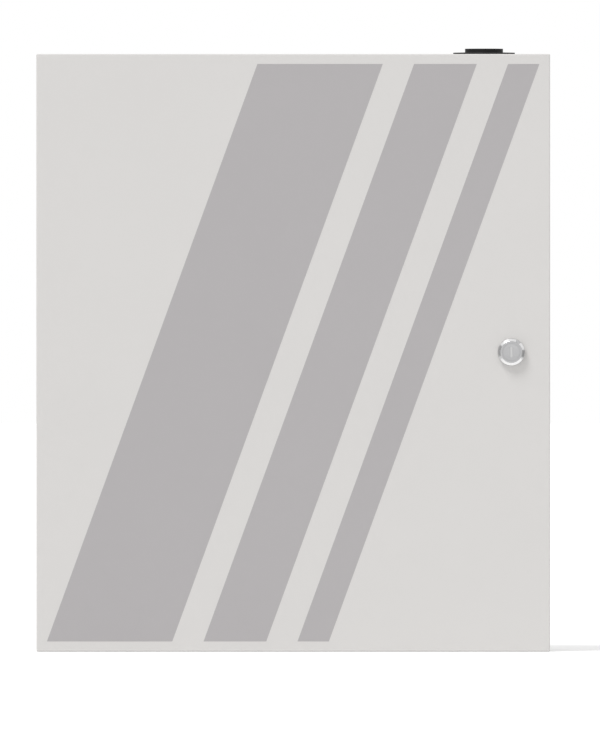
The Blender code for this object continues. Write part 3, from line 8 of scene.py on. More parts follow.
import bpy
import numpy as np
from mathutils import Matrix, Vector


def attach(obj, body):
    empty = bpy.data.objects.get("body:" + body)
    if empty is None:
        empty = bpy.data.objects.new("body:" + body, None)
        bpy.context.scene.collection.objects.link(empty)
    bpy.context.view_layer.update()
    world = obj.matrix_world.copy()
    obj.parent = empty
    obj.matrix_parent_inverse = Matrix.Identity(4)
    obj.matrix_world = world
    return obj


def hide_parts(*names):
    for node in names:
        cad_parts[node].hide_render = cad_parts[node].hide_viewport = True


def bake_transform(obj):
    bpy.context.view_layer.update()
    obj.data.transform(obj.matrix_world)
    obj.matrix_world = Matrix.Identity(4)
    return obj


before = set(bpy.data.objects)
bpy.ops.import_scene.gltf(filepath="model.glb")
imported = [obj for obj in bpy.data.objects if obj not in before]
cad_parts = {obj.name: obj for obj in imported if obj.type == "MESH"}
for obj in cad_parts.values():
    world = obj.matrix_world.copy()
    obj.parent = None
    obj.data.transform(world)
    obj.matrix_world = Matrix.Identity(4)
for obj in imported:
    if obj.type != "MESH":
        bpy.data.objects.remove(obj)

Array = np.ndarray
Pair = tuple[float, float]
Point = tuple[float, float, float]
Colour = tuple[float, float, float, float]
Line = tuple[Pair, ...]
Table = tuple[tuple, ...]

# Shapes are in millimetres until put() turns them into metres. Finishes and the studio are in metres.
MM = 0.001
ORIGIN: Point = (0, 0, 0)
WHITE: Colour = (1, 1, 1, 1)
QUARTER = np.linspace(0, np.pi / 2, 9)
# The angle in degrees from which an edge looks sharp on most pieces, and on folded and turned ones.
SHARP, CRISP = 38.0, 30.0
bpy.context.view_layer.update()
NODES: dict[str, bpy.types.Object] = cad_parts
log = logging.getLogger("control_panel")


class Body(Enum):
    """The bodies of the panel that move on their own."""

    BOX = "box"
    DOOR = "door"
    LOCK = "lock"
    SILENCE = "silence"
    RESET = "reset"
    PLUNGER = "plunger"


class Facing(Enum):
    """Where a shape's third axis points in the panel; the rows are the shape's three axes."""

    FRONT = ((1, 0, 0), (0, 0, 1), (0, -1, 0))
    FRONT_UPRIGHT = ((0, 0, 1), (-1, 0, 0), (0, -1, 0))
    BACK = ((1, 0, 0), (0, 0, -1), (0, 1, 0))
    UP = ((1, 0, 0), (0, 1, 0), (0, 0, 1))
    DOWN = ((1, 0, 0), (0, -1, 0), (0, 0, -1))
    RIGHT = ((0, 1, 0), (0, 0, 1), (1, 0, 0))


class Drive(Enum):
    """The recess in a screw's head, as the number of bars that make it."""

    PLAIN = 0
    SLOT = 1
    CROSS = 2


def tint(red: int, green: int, blue: int) -> Colour:
    """A colour in linear light from its eight-bit screen values, by the standard screen curve."""
    screen = np.array([red, green, blue]) / 255
    return (*np.where(screen > 0.04045, ((screen + 0.055) / 1.055) ** 2.4, screen / 12.92).tolist(), 1.0)


def grey(level: float) -> Colour:
    """A grey by its level in linear light."""
    return (level, level, level, 1.0)


def shade(colour: Colour, factor: float) -> Colour:
    """The colour made lighter or darker by a factor."""
    return (*(min(1.0, value * factor) for value in colour[:3]), 1.0)


def math_operator(operation: str, swapped: bool = False) -> "Callable[..., Wire]":
    """Makes an operator of Wire that adds one Math node.

    Args:
        operation: The node's operation.
        swapped: Whether the other value comes first, as in a reflected form.

    Returns:
        The operator's method.
    """

    def method(self: "Wire", other: "float | Wire" = 0.0) -> "Wire":
        """One Math node on the wire and the other value."""
        first, second = (other, self) if swapped else (self, other)
        return self.bench.node("ShaderNodeMath", {"operation": operation}, {0: first, 1: second})

    return method


class Wire:
    """A shader socket that can stand in a Python expression."""

    def __init__(self, bench: "Bench", socket: bpy.types.NodeSocket) -> None:
        """Keeps the socket and the bench that it is on."""
        self.bench, self.socket = bench, socket

    __add__ = __radd__ = math_operator("ADD")
    __sub__, __rsub__ = math_operator("SUBTRACT"), math_operator("SUBTRACT", True)
    __mul__ = __rmul__ = math_operator("MULTIPLY")
    __truediv__, __rtruediv__ = math_operator("DIVIDE"), math_operator("DIVIDE", True)
    __pow__, __mod__ = math_operator("POWER"), math_operator("FLOORED_MODULO")
    __lt__, __gt__ = math_operator("LESS_THAN"), math_operator("GREATER_THAN")
    __abs__, __floor__ = math_operator("ABSOLUTE"), math_operator("FLOOR")


class Bench:
    """A node tree with the few calls that the finishes need."""

    def __init__(self, owner: "bpy.types.Material | bpy.types.World") -> None:
        """Opens a node tree.

        Args:
            owner: The material or world that has it.
        """
        owner.use_nodes = True
        self.owner, self.tree = owner, owner.node_tree
        self.place = self.node("ShaderNodeTexCoord", out="Object")

    def node(
        self, kind: str, settings: dict | None = None, sockets: dict | None = None, out: "int | str" = 0
    ) -> Wire:
        """Adds any node.

        Args:
            kind: The node's type.
            settings: Its properties, which are set first.
            sockets: Values or wires for its inputs, by name or number.
            out: The output that is wanted.

        Returns:
            That output.
        """
        made = self.tree.nodes.new(kind)
        for key, value in (settings or {}).items():
            setattr(made, key, value)
        for key, value in (sockets or {}).items():
            self.join(made.inputs[key], value)
        return Wire(self, made.outputs[out])

    def join(self, socket: bpy.types.NodeSocket, value: "float | Point | Colour | Wire") -> None:
        """Gives a socket its value.

        Args:
            socket: The socket.
            value: A wire to link to it, or a plain value to set.
        """
        if isinstance(value, Wire):
            self.tree.links.new(value.socket, socket)
        else:
            socket.default_value = value

    def feed(self, sockets: dict) -> None:
        """Sets or links the inputs of the material's shader."""
        for key, value in sockets.items():
            self.join(self.tree.nodes["Principled BSDF"].inputs[key], value)

    def noise(self, scale: float, detail: float = 2.0, stretch: Point = (1, 1, 1)) -> Wire:
        """Soft noise from 0 to 1 with so many grains to the metre, finer along an axis by its stretch."""
        place = self.node("ShaderNodeMapping", None, {"Vector": self.place, "Scale": stretch})
        return self.node("ShaderNodeTexNoise", None, {"Vector": place, "Scale": scale, "Detail": detail})

    def mix(self, factor: "float | Wire", first: "Colour | Wire", second: "Colour | Wire") -> Wire:
        """A colour between two others."""
        return self.node("ShaderNodeMix", {"data_type": "RGBA"}, {0: factor, 6: first, 7: second}, 2)

    def uneven(self, noise: Wire, colour: Colour, low: float = 0.86, high: float = 1.12) -> Wire:
        """A colour that a noise makes darker and lighter, between two factors."""
        return self.mix(noise, shade(colour, low), shade(colour, high))

    def ramp(self, value: Wire, low: float, high: float) -> Wire:
        """0 below low, 1 above high, and a smooth step between them."""
        sockets = {"Value": value, "From Min": low, "From Max": high}
        return self.node("ShaderNodeMapRange", {"interpolation_type": "SMOOTHSTEP"}, sockets)

    def bump(self, height: Wire, strength: float, distance: float = 0.0001) -> Wire:
        """A normal that follows a height."""
        sockets = {"Height": height, "Strength": strength, "Distance": distance}
        return self.node("ShaderNodeBump", None, sockets)

    def axes(self) -> tuple[Wire, Wire, Wire]:
        """The object coordinates as three wires."""
        parts = self.node("ShaderNodeSeparateXYZ", None, {0: self.place}).socket.node
        return tuple(Wire(self, output) for output in parts.outputs)


@dataclass(frozen=True)
class Finish:
    """A surface finish and its slot. Each kind lays out its own nodes."""

    name: str
    slot: str
    colour: Colour
    roughness: float
    made: ClassVar[dict[str, bpy.types.Material]] = {}

    def material(self) -> bpy.types.Material:
        """Finds the finish's material.

        Returns:
            The material, which is laid out the first time that it is asked for.
        """
        if self.name not in Finish.made:
            bench = Bench(bpy.data.materials.new("finish_" + self.name))
            self.dress(bench)
            Finish.made[self.name] = bench.owner
        return Finish.made[self.name]

    def rough(self, noise: Wire, spread: float) -> Wire:
        """The roughness, spread evenly about its mean by a noise."""
        return noise * spread + (self.roughness - spread / 2)

    def dress(self, bench: Bench) -> None:
        """Lays out the material's nodes on a bench."""
        raise NotImplementedError


@dataclass(frozen=True)
class PowderCoat(Finish):
    """Baked paint with a fine pebbled skin."""

    pebble_scale: float = 1800.0
    wave_scale: float = 420.0
    cloud_scale: float = 13.0

    def dress(self, bench: Bench) -> None:
        """Fine pebbles in the normal, and a faint cloud in the colour.

        Args:
            bench: Where the nodes go.
        """
        pebble, wave = bench.noise(self.pebble_scale), bench.noise(self.wave_scale)
        cloud = bench.noise(self.cloud_scale, 3)
        bench.feed({
            "Base Color": bench.uneven(cloud * 0.55 + pebble * 0.45, self.colour, 0.975, 1.025),
            "Roughness": self.rough(pebble, 0.10),
            "Normal": bench.bump(pebble * 0.6 + wave * 0.4, 0.12, 0.0002),
            "Specular IOR Level": 0.35,
        })


@dataclass(frozen=True)
class PlatedMetal(Finish):
    """Plated, rolled or polished metal. The spangle is the size of its crystal flowers, if it has any."""

    stretch: Point = (1, 1, 1)
    spangle: float = 0.0
    depth: float = 0.05

    def dress(self, bench: Bench) -> None:
        """Streaks along the rolling direction, a stain cloud, and crystal flowers where there is a spangle.

        Args:
            bench: Where the nodes go.
        """
        streak, stain = bench.noise(700, 3, self.stretch), bench.noise(55, 3)
        tone, rough = streak * 0.5 + stain * 0.5, stain * 0.12 + streak * 0.08
        if self.spangle:
            sockets = {"Vector": bench.place, "Scale": 1 / self.spangle}
            cells = bench.node("ShaderNodeTexVoronoi", {"distance": "EUCLIDEAN"}, sockets, "Color")
            flower = bench.node("ShaderNodeSeparateColor", None, {0: cells})
            tone, rough = tone * 0.4 + flower * 0.6, rough * 0.6 + flower * 0.10
        bench.feed({
            "Base Color": bench.uneven(tone, self.colour),
            "Metallic": 1.0,
            "Roughness": rough + (self.roughness - 0.10),
            "Normal": bench.bump(streak, self.depth),
        })


@dataclass(frozen=True)
class MouldedPlastic(Finish):
    """Moulded plastic with a spark-eroded grain."""

    grain: float = 1600.0
    depth: float = 0.10
    gloss: float = 0.5
    spread: ClassVar[float] = 0.14

    def tone(self, bench: Bench) -> Wire:
        """The plastic's colour, a little uneven as flow lines leave it."""
        cloud, speck = bench.noise(60, 3), bench.noise(self.grain * 1.7)
        return bench.uneven(cloud * 0.6 + speck * 0.4, self.colour)

    def dress(self, bench: Bench) -> None:
        """Grain in the normal and roughness, and an uneven colour.

        Args:
            bench: Where the nodes go.
        """
        grain = bench.noise(self.grain)
        bench.feed({
            "Base Color": self.tone(bench),
            "Roughness": self.rough(grain, self.spread),
            "Normal": bench.bump(grain, self.depth),
            "Specular IOR Level": self.gloss,
        })


@dataclass(frozen=True)
class SplitPlastic(MouldedPlastic):
    """Plastic moulded in equal ways along the panel's width, with a groove between them whose shade is
    painted into the colour.
    """

    left: float = 0.0
    pitch: float = 0.00508

    def dress(self, bench: Bench) -> None:
        """A groove where the distance along the row is a whole number of pitches: sunk in the bump, and
        darkened in the colour as painted shade.

        Args:
            bench: Where the nodes go.
        """
        x, _, _ = bench.axes()
        share = ((x - self.left) / self.pitch + 0.5) % 1.0
        groove_and_painted_shade = 1 - bench.ramp(abs(share - 0.5), 0.02, 0.06)
        grain = bench.noise(self.grain)
        bench.feed({
            # The groove's dark colour is painted shade, not a colour of the plastic.
            "Base Color": bench.mix(groove_and_painted_shade * 0.75, self.tone(bench), shade(self.colour, 0.25)),
            "Roughness": self.rough(grain, self.spread),
            "Normal": bench.bump(grain * 0.1 - groove_and_painted_shade, 0.5, 0.0003),
        })


@dataclass(frozen=True)
class BladedLid(MouldedPlastic):
    """A battery's lid, whose blades above a height are tinned brass."""

    blade_height: float = -0.0890
    blade: Colour = (0.62, 0.60, 0.55, 1.0)

    def dress(self, bench: Bench) -> None:
        """Plastic below the blades' foot, and metal above it.

        Args:
            bench: Where the nodes go.
        """
        _, _, z = bench.axes()
        metal = z > self.blade_height
        grain = bench.noise(self.grain)
        bench.feed({
            "Base Color": bench.mix(metal, self.tone(bench), self.blade),
            "Metallic": metal,
            "Roughness": self.rough(grain, self.spread) - metal * 0.18,
            "Normal": bench.bump(grain * (1 - metal), self.depth),
        })


@dataclass(frozen=True)
class Marked(Finish):
    """A finish of two colours that follows the mark on a piece's points. No mark reaches UNMARKED."""

    second: Colour = WHITE
    metal: float = 0.0
    edge: float = 0.5
    UNMARKED: ClassVar[float] = 2.0

    def dress(self, bench: Bench) -> None:
        """The second colour, and its metal, where the mark is above the edge.

        Args:
            bench: Where the nodes go.
        """
        mark = bench.node("ShaderNodeAttribute", {"attribute_name": "mark"}, None, "Fac")
        there = bench.ramp(mark, self.edge - 0.05, self.edge + 0.05)
        grain, cloud = bench.noise(900), bench.noise(130, 3)
        first, second = (bench.uneven(grain, colour, 0.84, 1.14) for colour in (self.colour, self.second))
        bench.feed({
            "Base Color": bench.mix(there, first, second),
            "Metallic": there * self.metal,
            "Roughness": self.rough(cloud, 0.16),
            "Normal": bench.bump(grain, 0.05),
        })


@dataclass(frozen=True)
class PrintedBoard(Finish):
    """A circuit board: tracks and plated holes under a lacquer, on a glass-fibre core.

    A cell's random number below upright_top gives an upright track, below level_top a level one, and above
    hole_from a plated hole. Widths are shares of a cell.
    """

    track: Colour = tint(30, 122, 74)
    tin: Colour = tint(196, 198, 196)
    core: Colour = tint(150, 150, 92)
    cell: float = 0.0024
    upright_top: float = 0.40
    level_top: float = 0.78
    hole_from: float = 0.90
    track_half: float = 0.14
    hole_square: float = 0.05

    def dress(self, bench: Bench) -> None:
        """Lays tracks and holes out in square cells on both faces, and shows the core at the edges.

        Args:
            bench: Where the nodes go.
        """
        x, _, z = bench.axes()
        u, v = x / self.cell, z / self.cell
        spot = bench.node("ShaderNodeCombineXYZ", None, {0: math.floor(u), 1: math.floor(v)})
        pick = bench.node("ShaderNodeTexWhiteNoise", {"noise_dimensions": "2D"}, {"Vector": spot})
        across, along = abs(u % 1.0 - 0.5), abs(v % 1.0 - 0.5)
        upright = (pick < self.upright_top) * (across < self.track_half)
        level = (pick > self.upright_top) * (pick < self.level_top) * (along < self.track_half)
        hole = (pick > self.hole_from) * ((across ** 2 + along ** 2) < self.hole_square)
        normal = bench.node("ShaderNodeNewGeometry", None, None, "Normal")
        flat = abs(bench.node("ShaderNodeSeparateXYZ", None, {0: normal}, "Y")) > 0.5
        cloud, weave = bench.noise(90, 3), bench.noise(1500, 2, (1, 1, 6))
        laid = bench.mix(upright + level, bench.uneven(cloud, self.colour, 0.85, 1.15), self.track)
        plated = bench.mix(hole, laid, self.tin)
        bench.feed({
            "Base Color": bench.mix(flat, bench.uneven(weave, self.core, 0.8, 1.1), plated),
            "Metallic": hole * flat,
            "Roughness": self.rough(cloud, 0.10) + (1 - flat) * 0.3,
            "Normal": bench.bump((upright + level + hole * 1.3) * flat, 0.35, 0.00005),
        })


@dataclass(frozen=True)
class ClearMoulding(Finish):
    """Clear or tinted glass or resin."""

    clear: float = 1.0

    def dress(self, bench: Bench) -> None:
        """Light passes through, with faint draw lines on the surface.

        Args:
            bench: Where the nodes go.
        """
        draw = bench.noise(300)
        bench.feed({
            "Base Color": bench.uneven(draw, self.colour, 0.92, 1.0),
            "Roughness": draw * 0.06 + self.roughness,
            "Normal": bench.bump(draw, 0.02),
            "Transmission Weight": self.clear,
            "IOR": 1.5,
        })


PAINT = PowderCoat("powder_coat", "powder_coat", tint(217, 215, 213), 0.46)
PRINT = PowderCoat("stripe_print", "", tint(179, 176, 177), 0.50)
BRIGHT_CHROME = PlatedMetal("bright_chrome", "lock_chrome", grey(0.75), 0.20, depth=0.01)
SATIN_CHROME = PlatedMetal(
    "satin_chrome", "lock_chrome", (0.475, 0.475, 0.48, 1), 0.36, (8, 1, 1), depth=0.03
)
SHUTTER = PlatedMetal("key_shutter", "lock_chrome", grey(0.60), 0.40, (1, 1, 6), depth=0.03)
ZINC = PlatedMetal("zinc_plate", "zinc_steel", (0.60, 0.61, 0.63, 1), 0.36, (1, 1, 5))
GALVANISED = PlatedMetal("galvanised", "galvanised", (0.60, 0.62, 0.63, 1), 0.42, (1, 1, 3), 0.006)
ALUMINIUM = PlatedMetal("aluminium", "aluminium", (0.74, 0.75, 0.76, 1), 0.38, (1, 9, 1))
TINNED = PlatedMetal("tinned", "zinc_steel", (0.66, 0.66, 0.64, 1), 0.30, (3, 1, 1))
COPPER = PlatedMetal("enamelled_copper", "aluminium", tint(188, 108, 58), 0.30, (1, 6, 1))
BLACK = MouldedPlastic("black_plastic", "black_plastic", tint(32, 32, 33), 0.58, gloss=0.18)
MATT_BLACK = MouldedPlastic("chip_moulding", "black_plastic", tint(44, 44, 46), 0.66, 2600.0, 0.2)
NYLON = MouldedPlastic("nylon", "nylon", tint(226, 222, 208), 0.50, 900.0, 0.05)
RELAY_BLUE = MouldedPlastic("relay_plastic", "relay_plastic", tint(44, 92, 160), 0.46)
CASE_GREY = MouldedPlastic("battery_plastic", "battery_plastic", tint(62, 64, 68), 0.56, 1100.0, 0.22)
LID_GREY = BladedLid("battery_lid", "battery_plastic", tint(70, 72, 76), 0.54, 1100.0, 0.18)
BOARD = PrintedBoard("circuit_board", "board_laminate", tint(16, 84, 50), 0.34)
FOAM = MouldedPlastic("foam_strip", "black_plastic", tint(54, 54, 56), 0.88, 2400.0, 0.6, 0.2)
SILK = MouldedPlastic("board_print", "nylon", tint(222, 226, 220), 0.60)
GLASS = ClearMoulding("fuse_glass", "fuse_glass", (0.97, 0.98, 0.98, 1), 0.02)
RED_LENS = ClearMoulding("red_lens", "red_lamp", tint(206, 30, 28), 0.10, 0.45)
AMBER_LENS = ClearMoulding("amber_lens", "amber_lamp", tint(232, 150, 24), 0.10, 0.45)
GREEN_LENS = ClearMoulding("green_lens", "green_lamp", tint(52, 172, 70), 0.10, 0.45)
RED_CAP = MouldedPlastic("red_button", "red_button", tint(186, 34, 30), 0.34)
AMBER_CAP = MouldedPlastic("amber_button", "amber_button", tint(226, 150, 34), 0.34)
RED_PVC = Marked("red_insulation", "red_insulation", tint(178, 32, 30), 0.40, edge=Marked.UNMARKED)
BLACK_PVC = Marked("black_insulation", "black_insulation", tint(34, 34, 36), 0.42, edge=Marked.UNMARKED)
EARTH_PVC = Marked(
    "earth_insulation", "earth_insulation", tint(46, 128, 58), 0.40, tint(222, 200, 44), edge=0.10
)
CHIP_PARTS = Marked("chip_resistor", "black_plastic", tint(40, 40, 44), 0.40, tint(200, 200, 196), 1.0)
CERAMIC_PARTS = Marked("chip_capacitor", "nylon", tint(176, 140, 96), 0.44, tint(200, 200, 196), 1.0)
SLEEVE_BLUE = MouldedPlastic("capacitor_sleeve", "black_plastic", tint(34, 40, 78), 0.34, 700.0, 0.03)
RED_SLEEVE = MouldedPlastic("red_sleeve", "red_insulation", tint(170, 36, 32), 0.44)
FERRULE_BLUE = MouldedPlastic("ferrule_collar", "relay_plastic", tint(58, 98, 170), 0.44)
LABEL = MouldedPlastic("blank_label", "nylon", tint(206, 208, 208), 0.44, 420.0, 0.02)
VARISTOR = MouldedPlastic("varistor", "relay_plastic", tint(52, 104, 150), 0.42, 500.0, 0.06)
WINDING_TAPE = MouldedPlastic("winding_tape", "amber_lamp", tint(200, 170, 70), 0.4)


@dataclass
class Shell:
    """Points and faces of a skin before it becomes a mesh; a finish can follow mark, one number per point."""

    points: Array
    faces: list[Array]
    mark: Array

    def at(self, place: Point = ORIGIN, facing: Facing = Facing.FRONT) -> "Shell":
        """The skin turned to a facing, and then moved to a place."""
        return replace(self, points=self.points @ np.array(facing.value, float) + np.array(place))

    def marked(self, value: float) -> "Shell":
        """The skin with the same mark on all its points."""
        return replace(self, mark=np.full(len(self.points), value))

    def copies(self, places: "Array | list[Point]") -> "Shell":
        """Copies the skin: its points plus each place in turn.

        Args:
            places: Where the copies go.

        Returns:
            All copies as one skin.
        """
        moves = np.atleast_2d(np.array(places, float))
        shifts = np.arange(len(moves))[:, None, None] * len(self.points)
        faces = [(face[None] + shifts).reshape(-1, face.shape[1]) for face in self.faces]
        return Shell((self.points + moves[:, None]).reshape(-1, 3), faces, np.tile(self.mark, len(moves)))

    def __add__(self, other: "Shell") -> "Shell":
        """Both skins as one."""
        faces = self.faces + [face + len(self.points) for face in other.faces]
        return Shell(np.vstack([self.points, other.points]), faces, np.concatenate([self.mark, other.mark]))


def joined(shells: list[Shell]) -> Shell:
    """All the skins as one."""
    return sum(shells[1:], shells[0])


def unit(vectors: Array) -> Array:
    """Vectors made one long."""
    return vectors / np.linalg.norm(vectors, axis=1, keepdims=True)


def turn(count: int, start: float = 0.0) -> Array:
    """Equal angles once round, from a start in steps."""
    return np.linspace(0, 2 * np.pi, count, endpoint=False) + start * 2 * np.pi / count


def circle(angle: Array) -> Array:
    """Points on a circle of radius 1: (cos a, sin a)."""
    return np.column_stack([np.cos(angle), np.sin(angle)])


def rectangle(width: float, height: float) -> Array:
    """A rectangle's four corners about its middle."""
    return np.array([(1, 1), (-1, 1), (-1, -1), (1, -1)]) * (width / 2, height / 2)


def obround(length: float, width: float, count: int = 64) -> Array:
    """A slot's outline, its straight sides upright: a circle whose upper and lower halves are moved apart."""
    half = circle(turn(count, 0.5)) * width / 2
    return half + np.sign(half) * (0, (length - width) / 2)


def eased(corners: "Line | Array | list[Pair]", edge: float, closed: bool = False, steps: int = 4) -> Array:
    """Rounds a line's corners: each becomes a parabola between the points an edge's length to either side.

    Args:
        corners: The line's corners.
        edge: How far the rounding reaches along the line.
        closed: Whether the line runs back to its start.
        steps: Spans in each rounding.

    Returns:
        The rounded line.
    """
    line = np.array(corners, float)

    def towards(other: Array) -> Array:
        """Points on the way to a neighbour, an edge's length off and no more than nearly half-way."""
        length = np.linalg.norm(other - line, axis=1, keepdims=True)
        return line + (other - line) * np.minimum(0.49, edge / np.maximum(length, 1e-9))

    start, end = towards(np.roll(line, 1, 0)), towards(np.roll(line, -1, 0))
    t = np.linspace(0, 1, steps + 1)[None, :, None]
    bends = start[:, None] * (1 - t) ** 2 + 2 * line[:, None] * t * (1 - t) + end[:, None] * t**2
    if closed:
        return bends.reshape(-1, 2)
    return np.vstack([line[:1], bends[1:-1].reshape(-1, 2), line[-1:]])


def route(points: "list[Point] | list[Array]", step: float = 2.2) -> Array:
    """A smooth line: on each span a cubic whose slope at a point is half the way between its neighbours.

    Args:
        points: The points that it passes.
        step: About how far apart its own points are.

    Returns:
        The line's points.
    """
    line = np.array(points, float)
    line = np.vstack([2 * line[0] - line[1], line, 2 * line[-1] - line[-2]])
    spans = []
    for a, b, c, d in zip(line, line[1:], line[2:], line[3:]):
        t = np.linspace(0, 1, max(3, round(float(np.linalg.norm(c - b)) / step)), endpoint=False)[:, None]
        bend = (2 * a - 5 * b + 4 * c - d) * t**2 + (3 * b - a - 3 * c + d) * t**3
        spans.append(b + ((c - a) * t + bend) / 2)
    return np.vstack([*spans, line[-2:-1]])


def helix(radius: float, low: float, high: float, turns: int, steps: int) -> Array:
    """A coil's points, so many steps to a turn: (r cos a, r sin a, h), with a and h rising evenly."""
    share = np.linspace(0, 1, turns * steps)
    return np.column_stack([radius * circle(2 * np.pi * turns * share), low + (high - low) * share])


def stacked(rows: list[tuple[Array, float]]) -> Array:
    """Flat outlines, each at its height, as rings."""
    return np.array([np.insert(line, 2, height, 1) for line, height in rows])


def skin(rings: Array, capped: bool = True, looped: bool = False) -> Shell:
    """Joins rings: point j of ring i meets point j + 1 and the same point of ring i + 1, and j wraps round.

    Args:
        rings: The points, as rings by points by three.
        capped: Whether flat faces close the first and last rings.
        looped: Whether the last ring meets the first instead.

    Returns:
        The skin with its faces outwards.
    """
    count, around_it, _ = rings.shape
    number = np.arange(count * around_it).reshape(count, around_it)
    below, above = (number, np.roll(number, -1, 0)) if looped else (number[:-1], number[1:])
    quads = np.stack([below, np.roll(below, -1, 1), np.roll(above, -1, 1), above], -1).reshape(-1, 4)
    faces = [quads] + ([number[:1, ::-1], number[-1:]] if capped and not looped else [])
    points = rings.reshape(-1, 3)
    a, b, c, d = np.moveaxis((points - points.mean(0))[quads], 1, 0)
    if np.sum(a * (np.cross(b, c) + np.cross(c, d))) < 0:
        faces = [face[:, ::-1] for face in faces]
    return Shell(points, faces, np.zeros(len(points)))


def around(radius: Array, height: Array, angle: Array, looped: bool = False) -> Shell:
    """Rings whose radius r and height h may change round the third axis: (r cos a, r sin a, h)."""
    rings = np.broadcast_arrays(radius * np.cos(angle), radius * np.sin(angle), height)
    return skin(np.stack(rings, -1), not looped, looped)


def revolve(
    profile: "Line | Array | list[Pair]", edge: float = 0.0, sides: int = 48, looped: bool = False
) -> Shell:
    """Turns a profile about the third axis.

    Args:
        profile: Radius and height of each corner.
        edge: How far the rounding of its corners reaches.
        sides: Points around.
        looped: Whether the profile is closed, as for a washer.

    Returns:
        The turned skin.
    """
    line = eased(profile, edge, looped) if edge else np.array(profile, float)
    return around(line[:, :1], line[:, 1:], turn(sides), looped)


def washer(bore: float, rim: float, low: float, high: float, edge: float = 0.0, sides: int = 40) -> Shell:
    """A flat ring: a rectangle turned about the third axis."""
    return revolve([(bore, low), (rim, low), (rim, high), (bore, high)], edge, sides, True)


def prism(outline: Array, low: float, high: float, edge: float = 0.0) -> Shell:
    """Carries an outline from one height to another, drawn in by an edge at both ends where one is given.

    Args:
        outline: The flat outline.
        low: The first height.
        high: The last height.
        edge: The bevel at both ends.

    Returns:
        The prism.
    """
    middle = outline.mean(0)
    pull = 1 - edge / np.linalg.norm(outline - middle, axis=1).mean()
    levels = [(pull, low), (1, low + edge), (1, high - edge), (pull, high)] if edge else [(1, low), (1, high)]
    return skin(stacked([(middle + (outline - middle) * size, height) for size, height in levels]))


def frame_of(outer: Array, inner: Array, low: float, high: float) -> Shell:
    """A flat frame between two outlines of equal count: four rings, looped."""
    return skin(stacked([(outer, low), (outer, high), (inner, high), (inner, low)]), False, True)


def bar(size: Point, edge: float, steps: int = 2) -> Shell:
    """A block with rounded edges: a smaller block's corners plus a ball.

    The ball is (e cos b cos a, e cos b sin a, e sin b).

    Args:
        size: The block's three sizes.
        edge: The rounding's radius.
        steps: Spans in each quarter.

    Returns:
        The block, centred on its origin.
    """
    half = np.array(size) / 2 - edge
    angle = np.concatenate([np.linspace(q, q + 1, steps + 1) for q in range(4)]) * np.pi / 2
    corner = np.repeat([[1, 1], [-1, 1], [-1, -1], [1, -1]], steps + 1, 0)
    lift = np.concatenate([np.linspace(-0.45, 0, steps + 1), np.linspace(0, 0.45, steps + 1)]) * np.pi
    side = np.repeat([-1, 1], steps + 1)
    x = corner[:, 0] * half[0] + edge * np.outer(np.cos(lift), np.cos(angle))
    y = corner[:, 1] * half[1] + edge * np.outer(np.cos(lift), np.sin(angle))
    z = np.outer(side * half[2] + edge * np.sin(lift), np.ones(len(angle)))
    return skin(np.stack([x, y, z], -1))


def block(size: Point) -> Shell:
    """A small square-edged block for parts that are repeated often, centred on its origin."""
    return prism(rectangle(*size[:2]), -size[2] / 2, size[2] / 2)


def tube(path: Array, radius: float, sides: int = 14, lay: float = 0.0) -> Shell:
    """Carries a circle along a path: the path plus r cos a times its normal plus r sin a times its binormal.

    The normal is square to the path and to the one axis that the path keeps furthest from.

    Args:
        path: Points along the middle.
        radius: The circle's radius.
        sides: Points around.
        lay: How far along the mark goes once round, or 0 for straight.

    Returns:
        The tube; its mark is the cosine of a plus the turns of the lay.
    """
    along = unit(np.gradient(path, axis=0))
    normal = unit(np.cross(along, np.eye(3)[np.argmin(abs(along).max(0))]))
    angle = turn(sides)
    cosine, sine = np.cos(angle)[None, :, None], np.sin(angle)[None, :, None]
    ring = cosine * normal[:, None] + sine * np.cross(along, normal)[:, None]
    run = np.concatenate([[0], np.cumsum(np.linalg.norm(np.diff(path, axis=0), axis=1))])
    turns = 2 * np.pi * run / lay if lay else 0 * run
    return replace(skin(path[:, None] + radius * ring), mark=np.cos(angle + turns[:, None]).ravel())


def sweep(path: Array, profile: Array) -> Shell:
    """Carries a profile along a path in the panel's plane.

    A point is the path plus u times its normal plus v to the front.

    Args:
        path: Points as across and up.
        profile: The profile's u and v.

    Returns:
        The swept skin, with v = 0 at depth 0.
    """
    along = unit(np.gradient(path, axis=0))
    normal = np.column_stack([along[:, 1], -along[:, 0]])
    flat = path[:, None] + normal[:, None] * profile[None, :, :1]
    front = np.broadcast_to(-profile[None, :, 1:], (len(path), len(profile), 1))
    return skin(np.concatenate([flat[:, :, :1], front, flat[:, :, 1:]], -1))


def hex_nut(across_flats: float, bore: float, length: float) -> Shell:
    """A nut: a hexagon whose corners are cut by a cone at both ends, around a round bore.

    Args:
        across_flats: Its width across the flats.
        bore: Its bore's radius.
        length: Its length.

    Returns:
        The nut on its third axis, from height 0.
    """
    angle = turn(96)
    half, lead = across_flats / 2, length * 0.06
    side = half / np.cos((angle + np.pi / 6) % (np.pi / 3) - np.pi / 6)
    disc = half * 0.97
    cone = (side - disc).clip(0) * 0.55
    rows = [(bore, lead), (bore + lead, 0), (disc, 0), (side, cone)]
    rows += [(radius, length - height) for radius, height in reversed(rows)]
    radius, height = (np.array([value + 0 * angle for value in column]) for column in zip(*rows))
    return around(radius, height, angle, True)


def thread(radius: float, low: float, high: float, pitch: float, depth: float, sides: int = 40) -> Shell:
    """A screw thread: the radius drops with a triangle wave.

    The wave is of the height over the pitch less the share of a turn.

    Args:
        radius: The crest's radius.
        low: Where it starts.
        high: Where it ends.
        pitch: The rise in one turn.
        depth: How deep it is cut.
        sides: Points around.

    Returns:
        The threaded rod.
    """
    height = np.linspace(low, high, max(6, int((high - low) / pitch * 6)))[:, None]
    angle = turn(sides)
    wave = abs((height / pitch - angle / (2 * np.pi)) % 1.0 - 0.5) * 2
    fade = np.minimum(1, np.minimum(height - low, high - height) / pitch)
    return around(radius - depth * (1 - wave * fade), height, angle)


